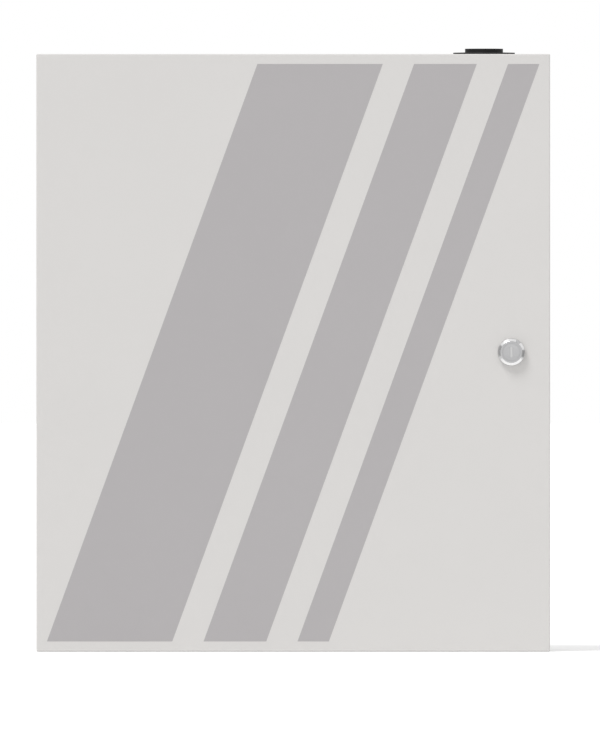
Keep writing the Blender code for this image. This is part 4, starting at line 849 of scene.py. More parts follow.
def screw_head(radius: float, height: float, drive: Drive, dome: float = 0.25, sides: int = 64) -> Shell:
    """A screw's head: the top falls with the square of r, and sinks where a bar of the drive crosses it.

    Args:
        radius: The head's radius.
        height: Its height at the middle.
        drive: The recess in it.
        dome: How much of the height the edge falls by.
        sides: Points around.

    Returns:
        The head on its third axis, from height 0.
    """
    angle = turn(sides)
    share = np.concatenate([[1, 1], np.linspace(0.99, 0.04, 22)])[:, None]
    x, y = abs(radius * share * np.cos(angle)), abs(radius * share * np.sin(angle))
    width, reach = radius * 0.13, radius * (0.64 if drive is Drive.CROSS else 1.2)
    bars = [(x < width) & (y < reach), (y < width) & (x < reach)][: drive.value]
    top = height * (1 - dome * share**2) - height * 0.45 * np.any(bars, 0) + 0 * angle
    top[0] = 0
    return around(radius * share, top, angle)


def put(
    name: str, shell: Shell, finish: Finish, body: Body = Body.BOX, hides: str = "", sharp: float = SHARP
) -> bpy.types.Object:
    """Makes a piece from a skin, in metres, and lets it ride on a body.

    Args:
        name: The piece's name.
        shell: Its skin, in place.
        finish: Its finish.
        body: What it moves with.
        hides: The CAD node that it stands for.
        sharp: The angle in degrees from which an edge looks sharp.

    Returns:
        The piece.
    """
    mesh = bpy.data.meshes.new(name)
    faces = [face for group in shell.faces for face in group.tolist()]
    mesh.from_pydata((shell.points * MM).tolist(), [], faces)
    mesh.shade_smooth()
    mesh.set_sharp_from_angle(angle=math.radians(sharp))
    mesh.attributes.new("mark", "FLOAT", "POINT").data.foreach_set("value", shell.mark.astype(np.float32))
    mesh.materials.append(finish.material())
    piece = bpy.data.objects.new(name, mesh)
    bpy.context.scene.collection.objects.link(piece)
    if hides:
        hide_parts(hides)
    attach(piece, body.value)
    log.info("%s on %s: %d points", name, body.value, len(shell.points))
    return piece


def coat(finish: Finish, *names: str) -> None:
    """Gives CAD nodes a finish.

    Args:
        finish: The finish.
        names: The nodes.
    """
    for name in names:
        for place in NODES[name].material_slots:
            place.material = finish.material()
        log.info("%s wears %s", name, finish.name)


@dataclass
class Enclosure:
    """The folded box, its foam strip and its door, which carries slanted bands.

    A band has a name, a start and a width, the last two in units.
    """

    half: Pair = (159.0, 185.0)
    face: float = -95.0
    rear: float = -81.0
    sheet: float = 1.2
    fold: float = 0.8
    inner_fold: float = 0.4
    fold_margin: float = 0.4
    burr: float = 0.15
    web: float = 10.0
    web_margin: float = 3.0
    side_points: int = 40
    notch_front: float = -88.36
    notches: Line = ((-143.2, -121.8), (102.8, 124.2))
    lock_hole: Point = (135.0, 0.5, 7.3)
    bands: Table = (("wide", 0, 4), ("middle", 5, 2), ("narrow", 8, 1))
    unit: float = 19.39
    left: float = -152.45
    foot: float = -178.6
    top: float = 178.8
    lean: float = math.radians(20.03)
    film: float = 0.04
    flange: float = -79.1
    seal_path: Line = ((-138, -179), (153, -179), (153, 179), (-138, 179))
    seal_profile: Line = ((-3.0, 0), (3.0, 0), (3.0, 2.9), (-3.0, 2.9))

    def build(self) -> None:
        """Coats the box, folds the door, lays the bands on it and sticks the foam strip to the flange."""
        coat(PAINT, "back_box")
        put("door_tray", self.tray(), PAINT, Body.DOOR, "door", CRISP)
        for name, start, width in self.bands:
            put("band_" + name, self.band(start, width), PRINT, Body.DOOR)
        strip = sweep(eased(self.seal_path, 8.0, False, 8), eased(self.seal_profile, 1.2, True))
        put("flange_seal", strip.at((0, self.flange, 0), Facing.UP), FOAM)

    def rim(self, inset: float, corner: float = 0.0) -> Array:
        """The door's outline drawn in.

        A point is its sign times the half size less the radius, plus the radius along its normal.

        Args:
            inset: How far it is drawn in.
            corner: The radius of its corners, where that isn't what the fold leaves.

        Returns:
            The outline anticlockwise from the foot of the right side, of as many points for any inset.
        """
        bend = QUARTER[:, None]
        notch_edges = np.ravel(self.notches)[:, None] + (-self.burr / 5, self.burr / 5)
        signs, fixed, normals = [], [], []
        for out in np.array([(1, 0), (0, 1), (-1, 0), (0, -1)]):
            on = np.array([-out[1], out[0]])
            reach = abs(on @ self.half) - self.web - self.web_margin
            run = np.linspace(-reach, reach, self.side_points)
            run = np.sort(np.append(run, -notch_edges.ravel() if out[0] < 0 else []))[:, None]
            signs += [np.tile(out, (len(run), 1)), np.tile(out + on, (len(bend), 1))]
            fixed += [run * on, bend * (0, 0)]
            normals += [np.tile(out, (len(run), 1)), np.cos(bend) * out + np.sin(bend) * on]
        radius = corner or max(self.fold - inset, self.burr)
        straight = np.array(self.half) - inset - radius
        return np.vstack(signs) * straight + np.vstack(fixed) + radius * np.vstack(normals)

    def tray(self) -> Shell:
        """The door: rings from the lock's hole over the face, round the fold, down the wall, and back inside.

        Returns:
            The closed skin; its wall stops short at the hinges' notches.
        """
        outer, inside = self.rim(0), self.face + self.sheet
        notched = [(outer[:, 1] > low) & (outer[:, 1] < high) for low, high in self.notches]
        rear = np.where((outer[:, 0] < 0) & np.any(notched, 0), self.notch_front, self.rear)
        x, z, radius = self.lock_hole
        fold, inner, margin, wall = self.fold, self.inner_fold, self.fold_margin, self.sheet
        border = self.rim(fold + margin, self.web)
        hole = radius * circle(np.arctan2(border[:, 1] - z, border[:, 0] - x)) + (x, z)
        turns = list(zip(1 - np.sin(QUARTER), 1 - np.cos(QUARTER)))
        rows = [(hole, self.face), (border, self.face)]
        rows += [(self.rim(fold * u), self.face + fold * v) for u, v in turns]
        rows += [(outer, self.face + fold + margin), (outer, rear - self.burr), (self.rim(self.burr), rear)]
        rows += [(self.rim(wall - self.burr), rear), (self.rim(wall), rear - self.burr)]
        rows += [(self.rim(wall), inside + inner + margin)]
        rows += [(self.rim(wall + inner * v), inside + inner * u) for u, v in turns]
        rows += [(self.rim(wall + inner + margin, self.web), inside), (hole, inside)]
        return skin(np.array([np.insert(line, 1, depth, 1) for line, depth in rows]), False, True)

    def band(self, start: float, width: float) -> Shell:
        """A sheared rectangle: x is the left end plus its units plus the height times the lean's tangent.

        Args:
            start: Where it starts, in units.
            width: How wide it is, in units.

        Returns:
            The band as a thin film.
        """
        share = np.array([(0, 0), (1, 0), (1, 1), (0, 1)])
        z = self.foot + share[:, 1] * (self.top - self.foot)
        x = self.left + (start + share[:, 0] * width) * self.unit + (z - self.foot) * math.tan(self.lean)
        return prism(np.column_stack([x, z]), self.film / 4, self.film * 5 / 4).at((0, self.face, 0))


@dataclass
class CamLock:
    """The lock in the door. Heights are from the door's face, positive towards the front."""

    place: Point = (135.0, -95.0, 0.5)
    rim: float = 8.6
    face: float = 6.7
    proud: float = 4.6
    bevel_foot: float = 3.2
    notch_angle: float = math.radians(56)
    notch_half: float = math.radians(9)
    notch_floor: float = 3.4
    plug: float = 5.4
    plug_neck: float = 4.7
    plug_end: float = -18.0
    neck_top: float = 2.6
    plug_sunk: float = 0.04
    plug_edge: float = 0.06
    slit_length: float = 6.8
    slit_width: float = 1.5
    slit_gap: float = 0.1
    slit_flare: float = 1.06
    slit_floor: float = 3.6
    shutter_top: float = 4.2
    barrel: float = 7.0
    barrel_span: Pair = (-17.52, 0.2)
    barrel_thread: Pair = (1.1, 0.4)
    nut_flats: float = 19.0
    nut_gap: float = 0.2
    nut_length: float = 4.0
    nut_y: float = -89.5
    tongue: Pair = (24.7, 12.4)
    tongue_rise: float = 6.15
    tongue_sheet: float = 2.0
    tongue_y: float = -74.88
    square: float = 5.6
    square_length: float = 2.8
    square_y: float = -74.48
    screw: Pair = (4.4, 2.6)
    screw_y: float = -74.18

    def build(self) -> None:
        """Makes the bezel, barrel, plug, nut, cam and screw."""
        x, _, z = self.place
        put("lock_bezel", self.bezel().at(self.place), BRIGHT_CHROME, Body.DOOR, "lock_housing", CRISP)
        put("lock_face_ring", self.face_ring().at(self.place), SATIN_CHROME, Body.DOOR)
        put("lock_index_mark", self.index_mark().at(self.place), SATIN_CHROME, Body.DOOR)
        barrel = thread(self.barrel, *self.barrel_span, *self.barrel_thread)
        put("lock_barrel", barrel.at(self.place), ZINC, Body.DOOR)
        nut = hex_nut(self.nut_flats, self.barrel + self.nut_gap, self.nut_length)
        put("lock_ring_nut", nut.at((x, self.nut_y, z)), ZINC, Body.DOOR, "lock_nut")
        put("lock_rotor", self.rotor().at(self.place), SATIN_CHROME, Body.LOCK, "lock_plug", CRISP)
        slit = obround(self.slit_length - self.slit_gap, self.slit_width - self.slit_gap)
        shutter = prism(slit, self.slit_floor, self.shutter_top)
        put("lock_shutter", shutter.at(self.place), SHUTTER, Body.LOCK)
        tongue = prism(obround(*self.tongue, 96) + (0, self.tongue_rise), 0, self.tongue_sheet, edge=0.3)
        put("lock_tongue", tongue.at((x, self.tongue_y, z)), ZINC, Body.LOCK, "lock_cam")
        screw = screw_head(*self.screw, Drive.CROSS).at((x, self.screw_y, z), Facing.BACK)
        square = prism(rectangle(self.square, self.square), 0, self.square_length, edge=0.2)
        end = screw + square.at((x, self.square_y, z))
        put("lock_screw", end, ZINC, Body.LOCK, "lock_cam_screw")

    def bezel(self) -> Shell:
        """A turned ring whose bevel is cut down to a flat floor near one angle, to make a small notch.

        Returns:
            The ring.
        """
        inner, rim, face, top, foot = self.face - 1.2, self.rim, self.face, self.proud, self.bevel_foot
        line = [(inner, 0.4), (inner, top - 0.3), (face - 0.1, top - 0.2), (face, top)]
        line += [(rim - 0.3, foot), (rim, foot - 0.6), (rim, 0.2), (rim - 0.1, 0.05)]
        radius, height = eased(line, 0.25, True).T[:, :, None]
        angle = turn(240)
        off = abs((angle - self.notch_angle + np.pi) % (2 * np.pi) - np.pi)
        cut = (off < self.notch_half) & (radius > face - 0.05)
        return around(radius, np.where(cut, np.minimum(height, self.notch_floor), height), angle, True)

    def face_ring(self) -> Shell:
        """The flat satin ring around the plug, let into the bezel.

        Returns:
            The ring.
        """
        low, high, bore, edge = self.proud - 1.0, self.proud, self.plug + 0.06, self.face - 0.12
        line = [(bore, low), (edge, low), (edge, high), (bore, high)]
        return revolve(eased(line, 0.05, True, 2), 0, 128, True)

    def rotor(self) -> Shell:
        """The plug: rings from its side over its face and down into the slit.

        Each point of the circle is paired with one of the slit.

        Returns:
            The plug.
        """
        count, neck_top, edge = 128, self.neck_top, self.plug_edge
        disc = circle(turn(count, 0.5))
        slit = obround(self.slit_length, self.slit_width, count)
        top = self.proud - self.plug_sunk
        neck, head = disc * self.plug_neck, disc * self.plug
        rows = [(neck, self.plug_end), (neck, neck_top), (head, neck_top), (head, top - edge)]
        rows += [(disc * (self.plug - edge), top), (slit * self.slit_flare, top)]
        return skin(stacked([*rows, (slit, top - edge), (slit, self.slit_floor)]))

    def index_mark(self) -> Shell:
        """A flat piece on the notch's floor: an arc at the rim's radius and one back at the face's.

        Returns:
            The piece.
        """
        arc = circle(self.notch_angle + np.linspace(-1, 1, 12) * (self.notch_half - 0.01))
        outline = np.vstack([arc * (self.rim - 0.2), arc[::-1] * self.face])
        return prism(outline, self.notch_floor - 0.6, self.notch_floor + 0.2)


@dataclass
class EntryPlug:
    """The black plug that closes the one open cable entry in the top wall."""

    place: Point = (118.5, -44.0, 185.0)
    flange: float = 19.2
    boss: float = 11.8
    dish: float = 9.4
    skirt: float = 13.0
    barb: float = 0.9
    wall: float = 1.4

    def build(self) -> None:
        """Turns the plug: a thin flange, a boss with a dished top, and a barbed skirt below."""
        skirt, inner, core = self.skirt, self.skirt - self.wall, 10.1
        line = [(0.4, 3.3), (self.dish, 3.3), (10.0, 3.7), (self.boss, 3.7), (self.boss, 1.4)]
        line += [(self.flange, 1.25), (self.flange, 0.3), (skirt, 0.3), (skirt, -1.5)]
        line += [(skirt + self.barb, -2.0), (skirt, -4.5), (skirt, -9.0), (inner, -9.0)]
        line += [(inner, -1.5), (core, -1.5), (core, 1.9), (0.4, 1.9)]
        plug = revolve(line, 0.3, 96).at(self.place, Facing.UP)
        put("entry_blank", plug, BLACK, Body.BOX, "cable_entry_plug", CRISP)


@dataclass
class Hinges:
    """Two lift hinges inside the left edge, each of two rolled leaves and a headed pin.

    A leaf's tip and the pin's line are from the pin's middle.
    """

    axis: Pair = (-154.5, -88.0)
    joints: Table = (("upper", 123.0), ("lower", -123.0))
    knuckle: float = 18.0
    gap: float = 0.15
    sheet: float = 1.2
    roll: float = 2.4
    wrap: float = math.radians(290)
    box_tip: Pair = (8.7, 8.02)
    door_tip: Pair = (16.0, -4.9)
    box_rivets: Pair = (-148.0, -80.58)
    door_rivets: Pair = (-143.0, -92.3)
    rivet_half: float = 5.0
    pin: Line = ((0.6, -19.3), (2.8, -19.1), (2.8, -18.3), (1.7, -18.3), (1.7, 17.7), (1.2, 18.0))

    def build(self) -> None:
        """Makes the leaves, their rivets and the pins."""
        fixed = prism(self.leaf(self.box_tip, 1), -self.knuckle, -self.gap)
        swing = prism(self.leaf(self.door_tip, -1), self.gap, self.knuckle)
        rod = revolve(self.pin, 0.2, 32)
        rivet = screw_head(1.5, 0.6, Drive.PLAIN, 0.8, 24)
        pair = np.array([(0, 0, -self.rivet_half), (0, 0, self.rivet_half)])
        for where, z in self.joints:
            half = self.knuckle / 2
            box_leaf, door_leaf, pin = (part.at((*self.axis, z), Facing.UP) for part in (fixed, swing, rod))
            put("hinge_fixed_" + where, box_leaf, ZINC, Body.BOX, "hinge_leaf_box_" + where, CRISP)
            put("hinge_swing_" + where, door_leaf, ZINC, Body.DOOR, "hinge_leaf_door_" + where, CRISP)
            put("hinge_rod_" + where, pin, TINNED, Body.BOX, "hinge_pin_" + where)
            heads = rivet.at().copies(pair + (*self.box_rivets, z - half))
            put("hinge_rivets_fixed_" + where, heads, TINNED)
            heads = rivet.at(facing=Facing.BACK).copies(pair + (*self.door_rivets, z + half))
            put("hinge_rivets_swing_" + where, heads, TINNED, Body.DOOR)

    def leaf(self, tip: Pair, side: int) -> Array:
        """A leaf's outline: its straight run and its roll about the pin.

        Half the sheet lies to each side of that line, along its normal.

        Args:
            tip: The free end of its straight run.
            side: 1 where the roll starts at the pin's right, and -1 at its left. It goes clockwise.

        Returns:
            The closed outline about the pin.
        """
        run = eased([tip, (side * self.roll, tip[1]), (side * self.roll, 0)], 1.4, False, 8)
        angle = math.acos(side) - np.linspace(0, self.wrap, 49)[1:]
        line = np.vstack([run, self.roll * circle(angle)])
        along = unit(np.gradient(line, axis=0))
        normal = np.column_stack([-along[:, 1], along[:, 0]]) * self.sheet / 2
        return np.vstack([line + normal, (line - normal)[::-1]])


@dataclass
class ControlBoard:
    """The control board and what is soldered to it.

    Places on it are across and up from its lower left corner.
    A can is a place, a radius and a height, a logic chip a place and its pairs of legs, a header a place, its
    columns and its lines, a regulator its sizes and a place with a lift, and a print frame a place and its
    two sizes.
    """

    corner: Point = (-133.0, -14.8, 23.0)
    pitch: float = 5.08
    rows: Table = (("zone", -119.0, 10), ("output", -23.16, 8), ("power", 62.52, 6))
    way_head: Pair = (1.72, 1.4)
    way_screw: Pair = (-24.6, 27.5)
    clamp: Point = (3.2, 2.6, 3.0)
    way_clamp: Pair = (-21.6, 26.5)
    posts: Table = (
        ("upper_left", 6.5, 119.5), ("upper_right", 233.5, 119.5),
        ("lower_left", 6.5, 6.5), ("lower_right", 233.5, 6.5),
    )
    post: Line = (
        (3.8, 1.5), (4.5, 1.8), (4.5, 3.0), (3.4, 3.8), (3.0, 6.0), (3.0, 13.2),
        (1.6, 13.2), (1.6, 15.1), (2.4, 15.2), (2.4, 15.8), (1.4, 18.1), (0.6, 18.1),
    )
    lamps: Table = (("fire", RED_LENS, 26), ("fault", AMBER_LENS, 37), ("power", GREEN_LENS, 48))
    lamp_foot: Line = ((1.6, 0.3), (1.9, 0.4), (1.9, 1.2), (1.5, 1.3))
    lamp_dome: Pair = (1.5, 3.5)
    lamp_z: float = 110
    buttons: Table = ((Body.SILENCE, AMBER_CAP, 26), (Body.RESET, RED_CAP, 48))
    button: Line = (
        (0.3, 4.85), (3.0, 5.0), (4.1, 5.2), (4.8, 5.0), (4.8, 2.0), (2.0, 2.0), (2.0, -1.6), (0.3, -1.6),
    )
    button_z: float = 88
    switch_top: float = 4.8
    buzzer_place: Pair = (30, 50)
    buzzer: Line = (
        (0.3, 7.0), (1.1, 7.0), (1.1, 9.3), (1.4, 9.5), (4.6, 9.5), (4.8, 9.2),
        (5.2, 9.2), (5.4, 9.5), (6.6, 9.5), (7.0, 9.0), (7.0, 0.3), (6.0, 0.3),
    )
    fuse_place: Point = (64.0, -21.6, 101.0)
    fuse_cap: Line = ((0.4, -10.0), (2.6, -10.0), (2.6, -4.8), (2.5, -4.8), (2.5, -6.0), (0.4, -6.0))
    clip_reach: float = 7.7
    leg: Line = ((0, 0.8), (0.48, 0.8), (0.84, 0.1), (1.2, 0.1), (1.2, 0), (0.72, 0), (0.36, 0.68), (0, 0.68))
    leg_half: float = 0.14
    solder: float = 0.05
    processor: Pair = (100, 74)
    crystal: Pair = (100, 90)
    logic: Table = ((64, 84, 7), (122, 94, 8), (122, 70, 7), (92, 50, 4), (186, 58, 4))
    logic_pitch: float = 1.27
    relay_rim: Line = ((13.9, 17.4), (12.1, 15.6))
    relay_skirt: Line = ((16.1, 19.6), (15.3, 18.8))
    relays: Pair = (-15.41, 4.59)
    relay_z: float = 55.0
    relay_front: float = -30.6
    cans: Table = (
        (163, 62, 9.0, 20.0), (163, 88, 5.0, 12.0), (176, 100, 4.0, 10.5),
        (84, 32, 3.2, 8.0), (72, 62, 3.2, 8.0), (150, 104, 4.0, 10.5),
    )
    choke_place: Pair = (186, 40)
    choke: Line = (
        (0.5, 9.0), (6.0, 9.0), (6.0, 7.8), (5.0, 7.6), (5.0, 1.6), (6.0, 1.4), (6.0, 0.3), (0.5, 0.3),
    )
    surge_columns: Point = (199, 206, 213)
    surge_disc: Line = ((0.3, -1.8), (3.0, -1.8), (4.5, -0.8), (4.5, 0.8), (3.0, 1.8), (0.3, 1.8))
    regulators: Table = (((10.0, 8.8, 4.2), (200, 88.6, 2.6)), ((8.0, 8.0, 3.2), (212, 56, 1.8)))
    headers: Table = ((78, 116, 5, 2), (112, 116, 6, 1), (226, 64, 1, 8))
    header_pitch: float = 2.54
    frames: Table = (
        (100, 74, 19, 19), (117.6, 32, 18, 21.5), (137.6, 32, 18, 21.5), (197, 78, 29, 12),
        (200, 104, 28, 23), (26, 88, 15, 15), (48, 88, 15, 15), (78, 116, 16, 8),
    )
    print_width: float = 0.25
    print_height: float = 0.03
    dash_z: float = 35.2

    def spot(self, x: float, z: float, lift: float = 0.0) -> Point:
        """A place on the board's face, or in front of it by the lift."""
        return (self.corner[0] + x, self.corner[1] - lift, self.corner[2] + z)

    def build(self) -> None:
        """Coats the CAD nodes and adds everything else on the board."""
        coat(BOARD, "main_board")
        coat(RELAY_BLUE, "relay_fire", "relay_fault")
        coat(MATT_BLACK, "processor_chip", "fuse_holder", "silence_switch", "reset_switch")
        coat(ALUMINIUM, "heat_sink")
        self.terminals()
        self.supports()
        self.signal_lamps()
        self.switches()
        self.sounder()
        self.fuse()
        self.chips()
        self.relay_covers()
        self.capacitors()
        self.power_parts()
        self.pin_headers()
        self.small_parts()
        self.print_lines()

    def terminals(self) -> None:
        """Coats the terminal rows and puts a slotted screw and a clamp into each way."""
        look = SplitPlastic("", "terminal_plastic", tint(50, 132, 84), 0.46, pitch=self.pitch * MM)
        ways = []
        for name, left, count in self.rows:
            coat(replace(look, name=name + "_terminal_plastic", left=left * MM), name + "_terminals")
            ways += [left + self.pitch * (way + 0.5) for way in range(count)]
        screw = screw_head(*self.way_head, Drive.SLOT, 0.1, 40).at()
        put("terminal_screws", screw.copies([(x, *self.way_screw) for x in ways]), TINNED, sharp=CRISP)
        clamp = block(self.clamp).at(facing=Facing.UP)
        put("terminal_clamps", clamp.copies([(x, *self.way_clamp) for x in ways]), TINNED)

    def supports(self) -> None:
        """The four snap-in posts from the box's back, turned, with a waist at the board and a split tip."""
        post = revolve(self.post, 0.3, 32)
        for name, x, z in self.posts:
            place = self.spot(x, z, self.corner[1])
            put("board_post_" + name, post.at(place), NYLON, hides="board_support_" + name)

    def signal_lamps(self) -> None:
        """The lamps, each a foot and a dome."""
        radius, height = self.lamp_dome
        lamp = revolve([*self.lamp_foot, *(circle(np.linspace(0, 1.45, 9)) * radius + (0, height))], 0, 32)
        for name, finish, x in self.lamps:
            put("lens_" + name, lamp.at(self.spot(x, self.lamp_z)), finish, hides="lamp_" + name)

    def switches(self) -> None:
        """The push buttons, and around each a metal frame with a rivet at each corner."""
        button = revolve(self.button, 0.4)
        corners = [(x, 0, z) for x in (-4.7, 4.7) for z in (-4.7, 4.7)]
        rivets = revolve([(0.7, 0), (0.7, 0.3), (0.3, 0.5)], 0, 16).at().copies(corners)
        frame_metal = frame_of(rectangle(11.6, 11.6), rectangle(9.8, 9.8), 0, 0.25).at() + rivets
        for body, finish, x in self.buttons:
            place = self.spot(x, self.button_z, self.switch_top)
            put(body.value + "_cap", button.at(place), finish, body, body.value + "_button")
        places = [self.spot(x, self.button_z, self.switch_top + 0.05) for _, _, x in self.buttons]
        put("switch_frames", frame_metal.copies(places), TINNED)

    def sounder(self) -> None:
        """The sounder, with a hole in its face and a groove around that."""
        can = revolve(self.buzzer, 0.2, 64)
        put("sounder", can.at(self.spot(*self.buzzer_place)), BLACK, hides="buzzer")

    def fuse(self) -> None:
        """A glass tube between two caps with a wire in it, and a spring clip around each cap."""
        put("fuse_tube", washer(2.1, 2.4, -8.6, 8.6).at(self.fuse_place, Facing.RIGHT), GLASS, hides="fuse")
        cap = revolve(self.fuse_cap, 0.4, 40)
        caps = (cap + cap.at(facing=Facing.DOWN)).at(facing=Facing.RIGHT)
        share = np.linspace(-1, 1, 24)
        wire = tube(np.column_stack([6.0 * share, 0.3 * np.sin(4.5 * (share + 1)), 0 * share]), 0.15, 8)
        ends = [(-self.clip_reach, 0, 0), (self.clip_reach, 0, 0)]
        clips = washer(2.62, 2.85, -2.0, 2.0).at(facing=Facing.RIGHT).copies(ends)
        put("fuse_caps", (caps + wire + clips).copies([self.fuse_place]), TINNED)

    def legs(self, place: Point, reach: float, count: int, pitch: float, quarters: tuple[int, ...]) -> Shell:
        """A chip's bent legs: a stepped outline carried across its width, in a row along each of some sides.

        Args:
            place: The chip's middle on the board.
            reach: How far from it the legs start.
            count: Legs in a row.
            pitch: How far apart they are.
            quarters: The sides that have a row, in quarter turns from the right.

        Returns:
            The rows as one skin.
        """
        steps = (np.arange(count) - (count - 1) / 2) * pitch
        leg = prism(np.array(self.leg) * (1, -1), -self.leg_half, self.leg_half)
        row = leg.copies(np.column_stack([np.full(count, reach), 0 * steps, steps]))
        rows = []
        for quarter in quarters:
            c, s = circle(np.array([quarter * np.pi / 2]))[0]
            spin = np.array([[c, 0, s], [0, 1, 0], [-s, 0, c]])
            rows.append(replace(row, points=row.points @ spin + place))
        return joined(rows)

    def chips(self) -> None:
        """Legs around the processor, its dot and crystal, and smaller chips with legs along two sides."""
        x, y, z = self.spot(*self.processor, self.solder)
        metal = [self.legs((x, y, z), 7.0, 16, 0.8, (0, 1, 2, 3))]
        metal.append(prism(obround(11.0, 4.6)[:, ::-1], 0.2, 3.6, 0.4).at(self.spot(*self.crystal)))
        dot = revolve([(0.3, 1.9), (0.8, 1.9), (0.8, 1.86), (0.3, 1.86)], 0, 20)
        bodies = [dot.at((x - 5.2, y, z + 5.2))]
        for x, z, pairs in self.logic:
            bodies.append(bar((3.9, pairs * self.logic_pitch, 1.4), 0.2).at(self.spot(x, z, 0.9)))
            metal.append(self.legs(self.spot(x, z, self.solder), 1.9, pairs, self.logic_pitch, (0, 2)))
        put("chip_legs", joined(metal), TINNED)
        put("logic_chips", joined(bodies), MATT_BLACK)

    def relay_covers(self) -> None:
        """A raised rim and a vent nub on each relay's face, and a skirt where its cover meets its base."""
        edges = (0.8, 0.6)
        outer, inner = (eased(rectangle(*size), edge, True) for size, edge in zip(self.relay_rim, edges))
        nub = revolve([(0.2, 0.5), (0.9, 0.5), (1.1, 0)], 0.3, 24)
        face = frame_of(outer, inner, 0, 0.3).at() + nub.at((4.2, 0, 5.6))
        outer, inner = (eased(rectangle(*size), 0.6, True) for size in self.relay_skirt)
        skirt = frame_of(outer, inner, 0.3, 1.6).at()
        depths = (self.relay_front, self.corner[1])
        fronts, feet = ([(x, y, self.relay_z) for x in self.relays] for y in depths)
        put("relay_rims", face.copies(fronts) + skirt.copies(feet), RELAY_BLUE)

    def capacitors(self) -> None:
        """Cans in sleeves with a waist near the foot, and vented metal tops."""
        sleeves, tops = [], []
        for x, z, r, h in self.cans:
            line = [(r * 0.8, 0.3), (r, 0.8), (r, 1.8), (r * 0.95, 2.4), (r, 3.0), (r, h - 0.6)]
            line += [(r - 0.6, h), (r * 0.80, h), (r * 0.80, h - 0.3)]
            sleeves.append(revolve(line, 0.4).at(self.spot(x, z)))
            tops.append(screw_head(r * 0.82, 0.4, Drive.CROSS, 0.0).at(self.spot(x, z, h - 0.4)))
        put("capacitor_sleeves", joined(sleeves), SLEEVE_BLUE)
        put("capacitor_tops", joined(tops), ALUMINIUM)

    def power_parts(self) -> None:
        """The drum choke with its coil, the varistors and the regulators."""
        place = self.spot(*self.choke_place)
        put("choke_core", revolve(self.choke, 0.2).at(place), MATT_BLACK)
        put("choke_coil", tube(helix(5.3, 2.0, 7.2, 11, 30), 0.26, 8).at(place), COPPER)
        disc = revolve(self.surge_disc, 1.0, 40).at(facing=Facing.RIGHT)
        put("surge_discs", disc.copies([self.spot(x, 24, 6.0) for x in self.surge_columns]), VARISTOR)
        cases = [bar(size, edge=0.3).at(self.spot(*place)) for size, place in self.regulators]
        put("regulator", joined(cases), MATT_BLACK)

    def pin_headers(self) -> None:
        """Blocks with a square pin at each crossing of their columns and lines."""
        pitch, shrouds, pins = self.header_pitch, [], []
        for x, z, columns, lines in self.headers:
            shrouds.append(bar((columns * pitch, lines * pitch, 2.6), 0.2).at(self.spot(x, z, 1.5)))
            left, low = x - (columns - 1) / 2 * pitch, z - (lines - 1) / 2 * pitch
            steps = [(column, line) for column in range(columns) for line in range(lines)]
            pins += [self.spot(left + column * pitch, low + line * pitch, 4.5) for column, line in steps]
        put("header_shrouds", joined(shrouds), MATT_BLACK)
        put("header_pins", prism(rectangle(0.64, 0.64), -4.2, 4.2, 0.1).at().copies(pins), TINNED)

    def small_parts(self) -> None:
        """Rows of chip resistors and capacitors, whose soldered ends carry a mark."""
        ends = block((0.4, 1.3, 0.56)).marked(1.0).copies([(-0.9, 0, 0), (0.9, 0, 0)])
        part = (block((1.4, 1.25, 0.5)) + ends).at(facing=Facing.FRONT_UPRIGHT)
        zone, output = ([left - self.corner[0] + self.pitch * (way + 0.5) for way in range(ways)]
                        for _, left, ways in self.rows[:2])
        resistors = [(x, z) for x in zone + output for z in (15.0, 19.4)]
        resistors += [(x, z) for x in np.arange(56, 80, 3.4) for z in (40, 44.5)]
        resistors += [(x, z) for x in np.arange(132, 152, 3.4) for z in (72, 78, 84)]
        resistors += [(x, 98.5) for _, _, x in self.lamps]
        ceramics = [(x, 24.0) for x in zone]
        x, z = self.processor
        ceramics += [(x + side, z + rise) for side in (-12, 12) for rise in (-6, 0, 6)]
        ceramics += [(x, 13.0) for x in np.arange(196, 226, self.pitch)]
        put("chip_resistors", part.copies([self.spot(*place, 0.3) for place in resistors]), CHIP_PARTS)
        put("chip_capacitors", part.copies([self.spot(*place, 0.3) for place in ceramics]), CERAMIC_PARTS)

    def print_lines(self) -> None:
        """White frames printed around the parts, and a dash between terminal ways."""
        lines, inset = [], 2 * self.print_width
        for x, z, width, height in self.frames:
            outer, inner = rectangle(width, height), rectangle(width - inset, height - inset)
            lines.append(frame_of(outer, inner, 0, self.print_height).at(self.spot(x, z)))
        for x, z, radius, _ in (*self.cans, (*self.buzzer_place, 7.0, 0)):
            ring = washer(radius + 0.6, radius + 0.9, 0, self.print_height, 0, 64)
            lines.append(ring.at(self.spot(x, z)))
        gaps = [left + self.pitch * way for _, left, ways in self.rows for way in range(ways + 1)]
        dash = prism(rectangle(0.3, 3.0), 0, self.print_height).at()
        lines.append(dash.copies([(x, self.corner[1], self.dash_z) for x in gaps]))
        put("board_lines", joined(lines), SILK)


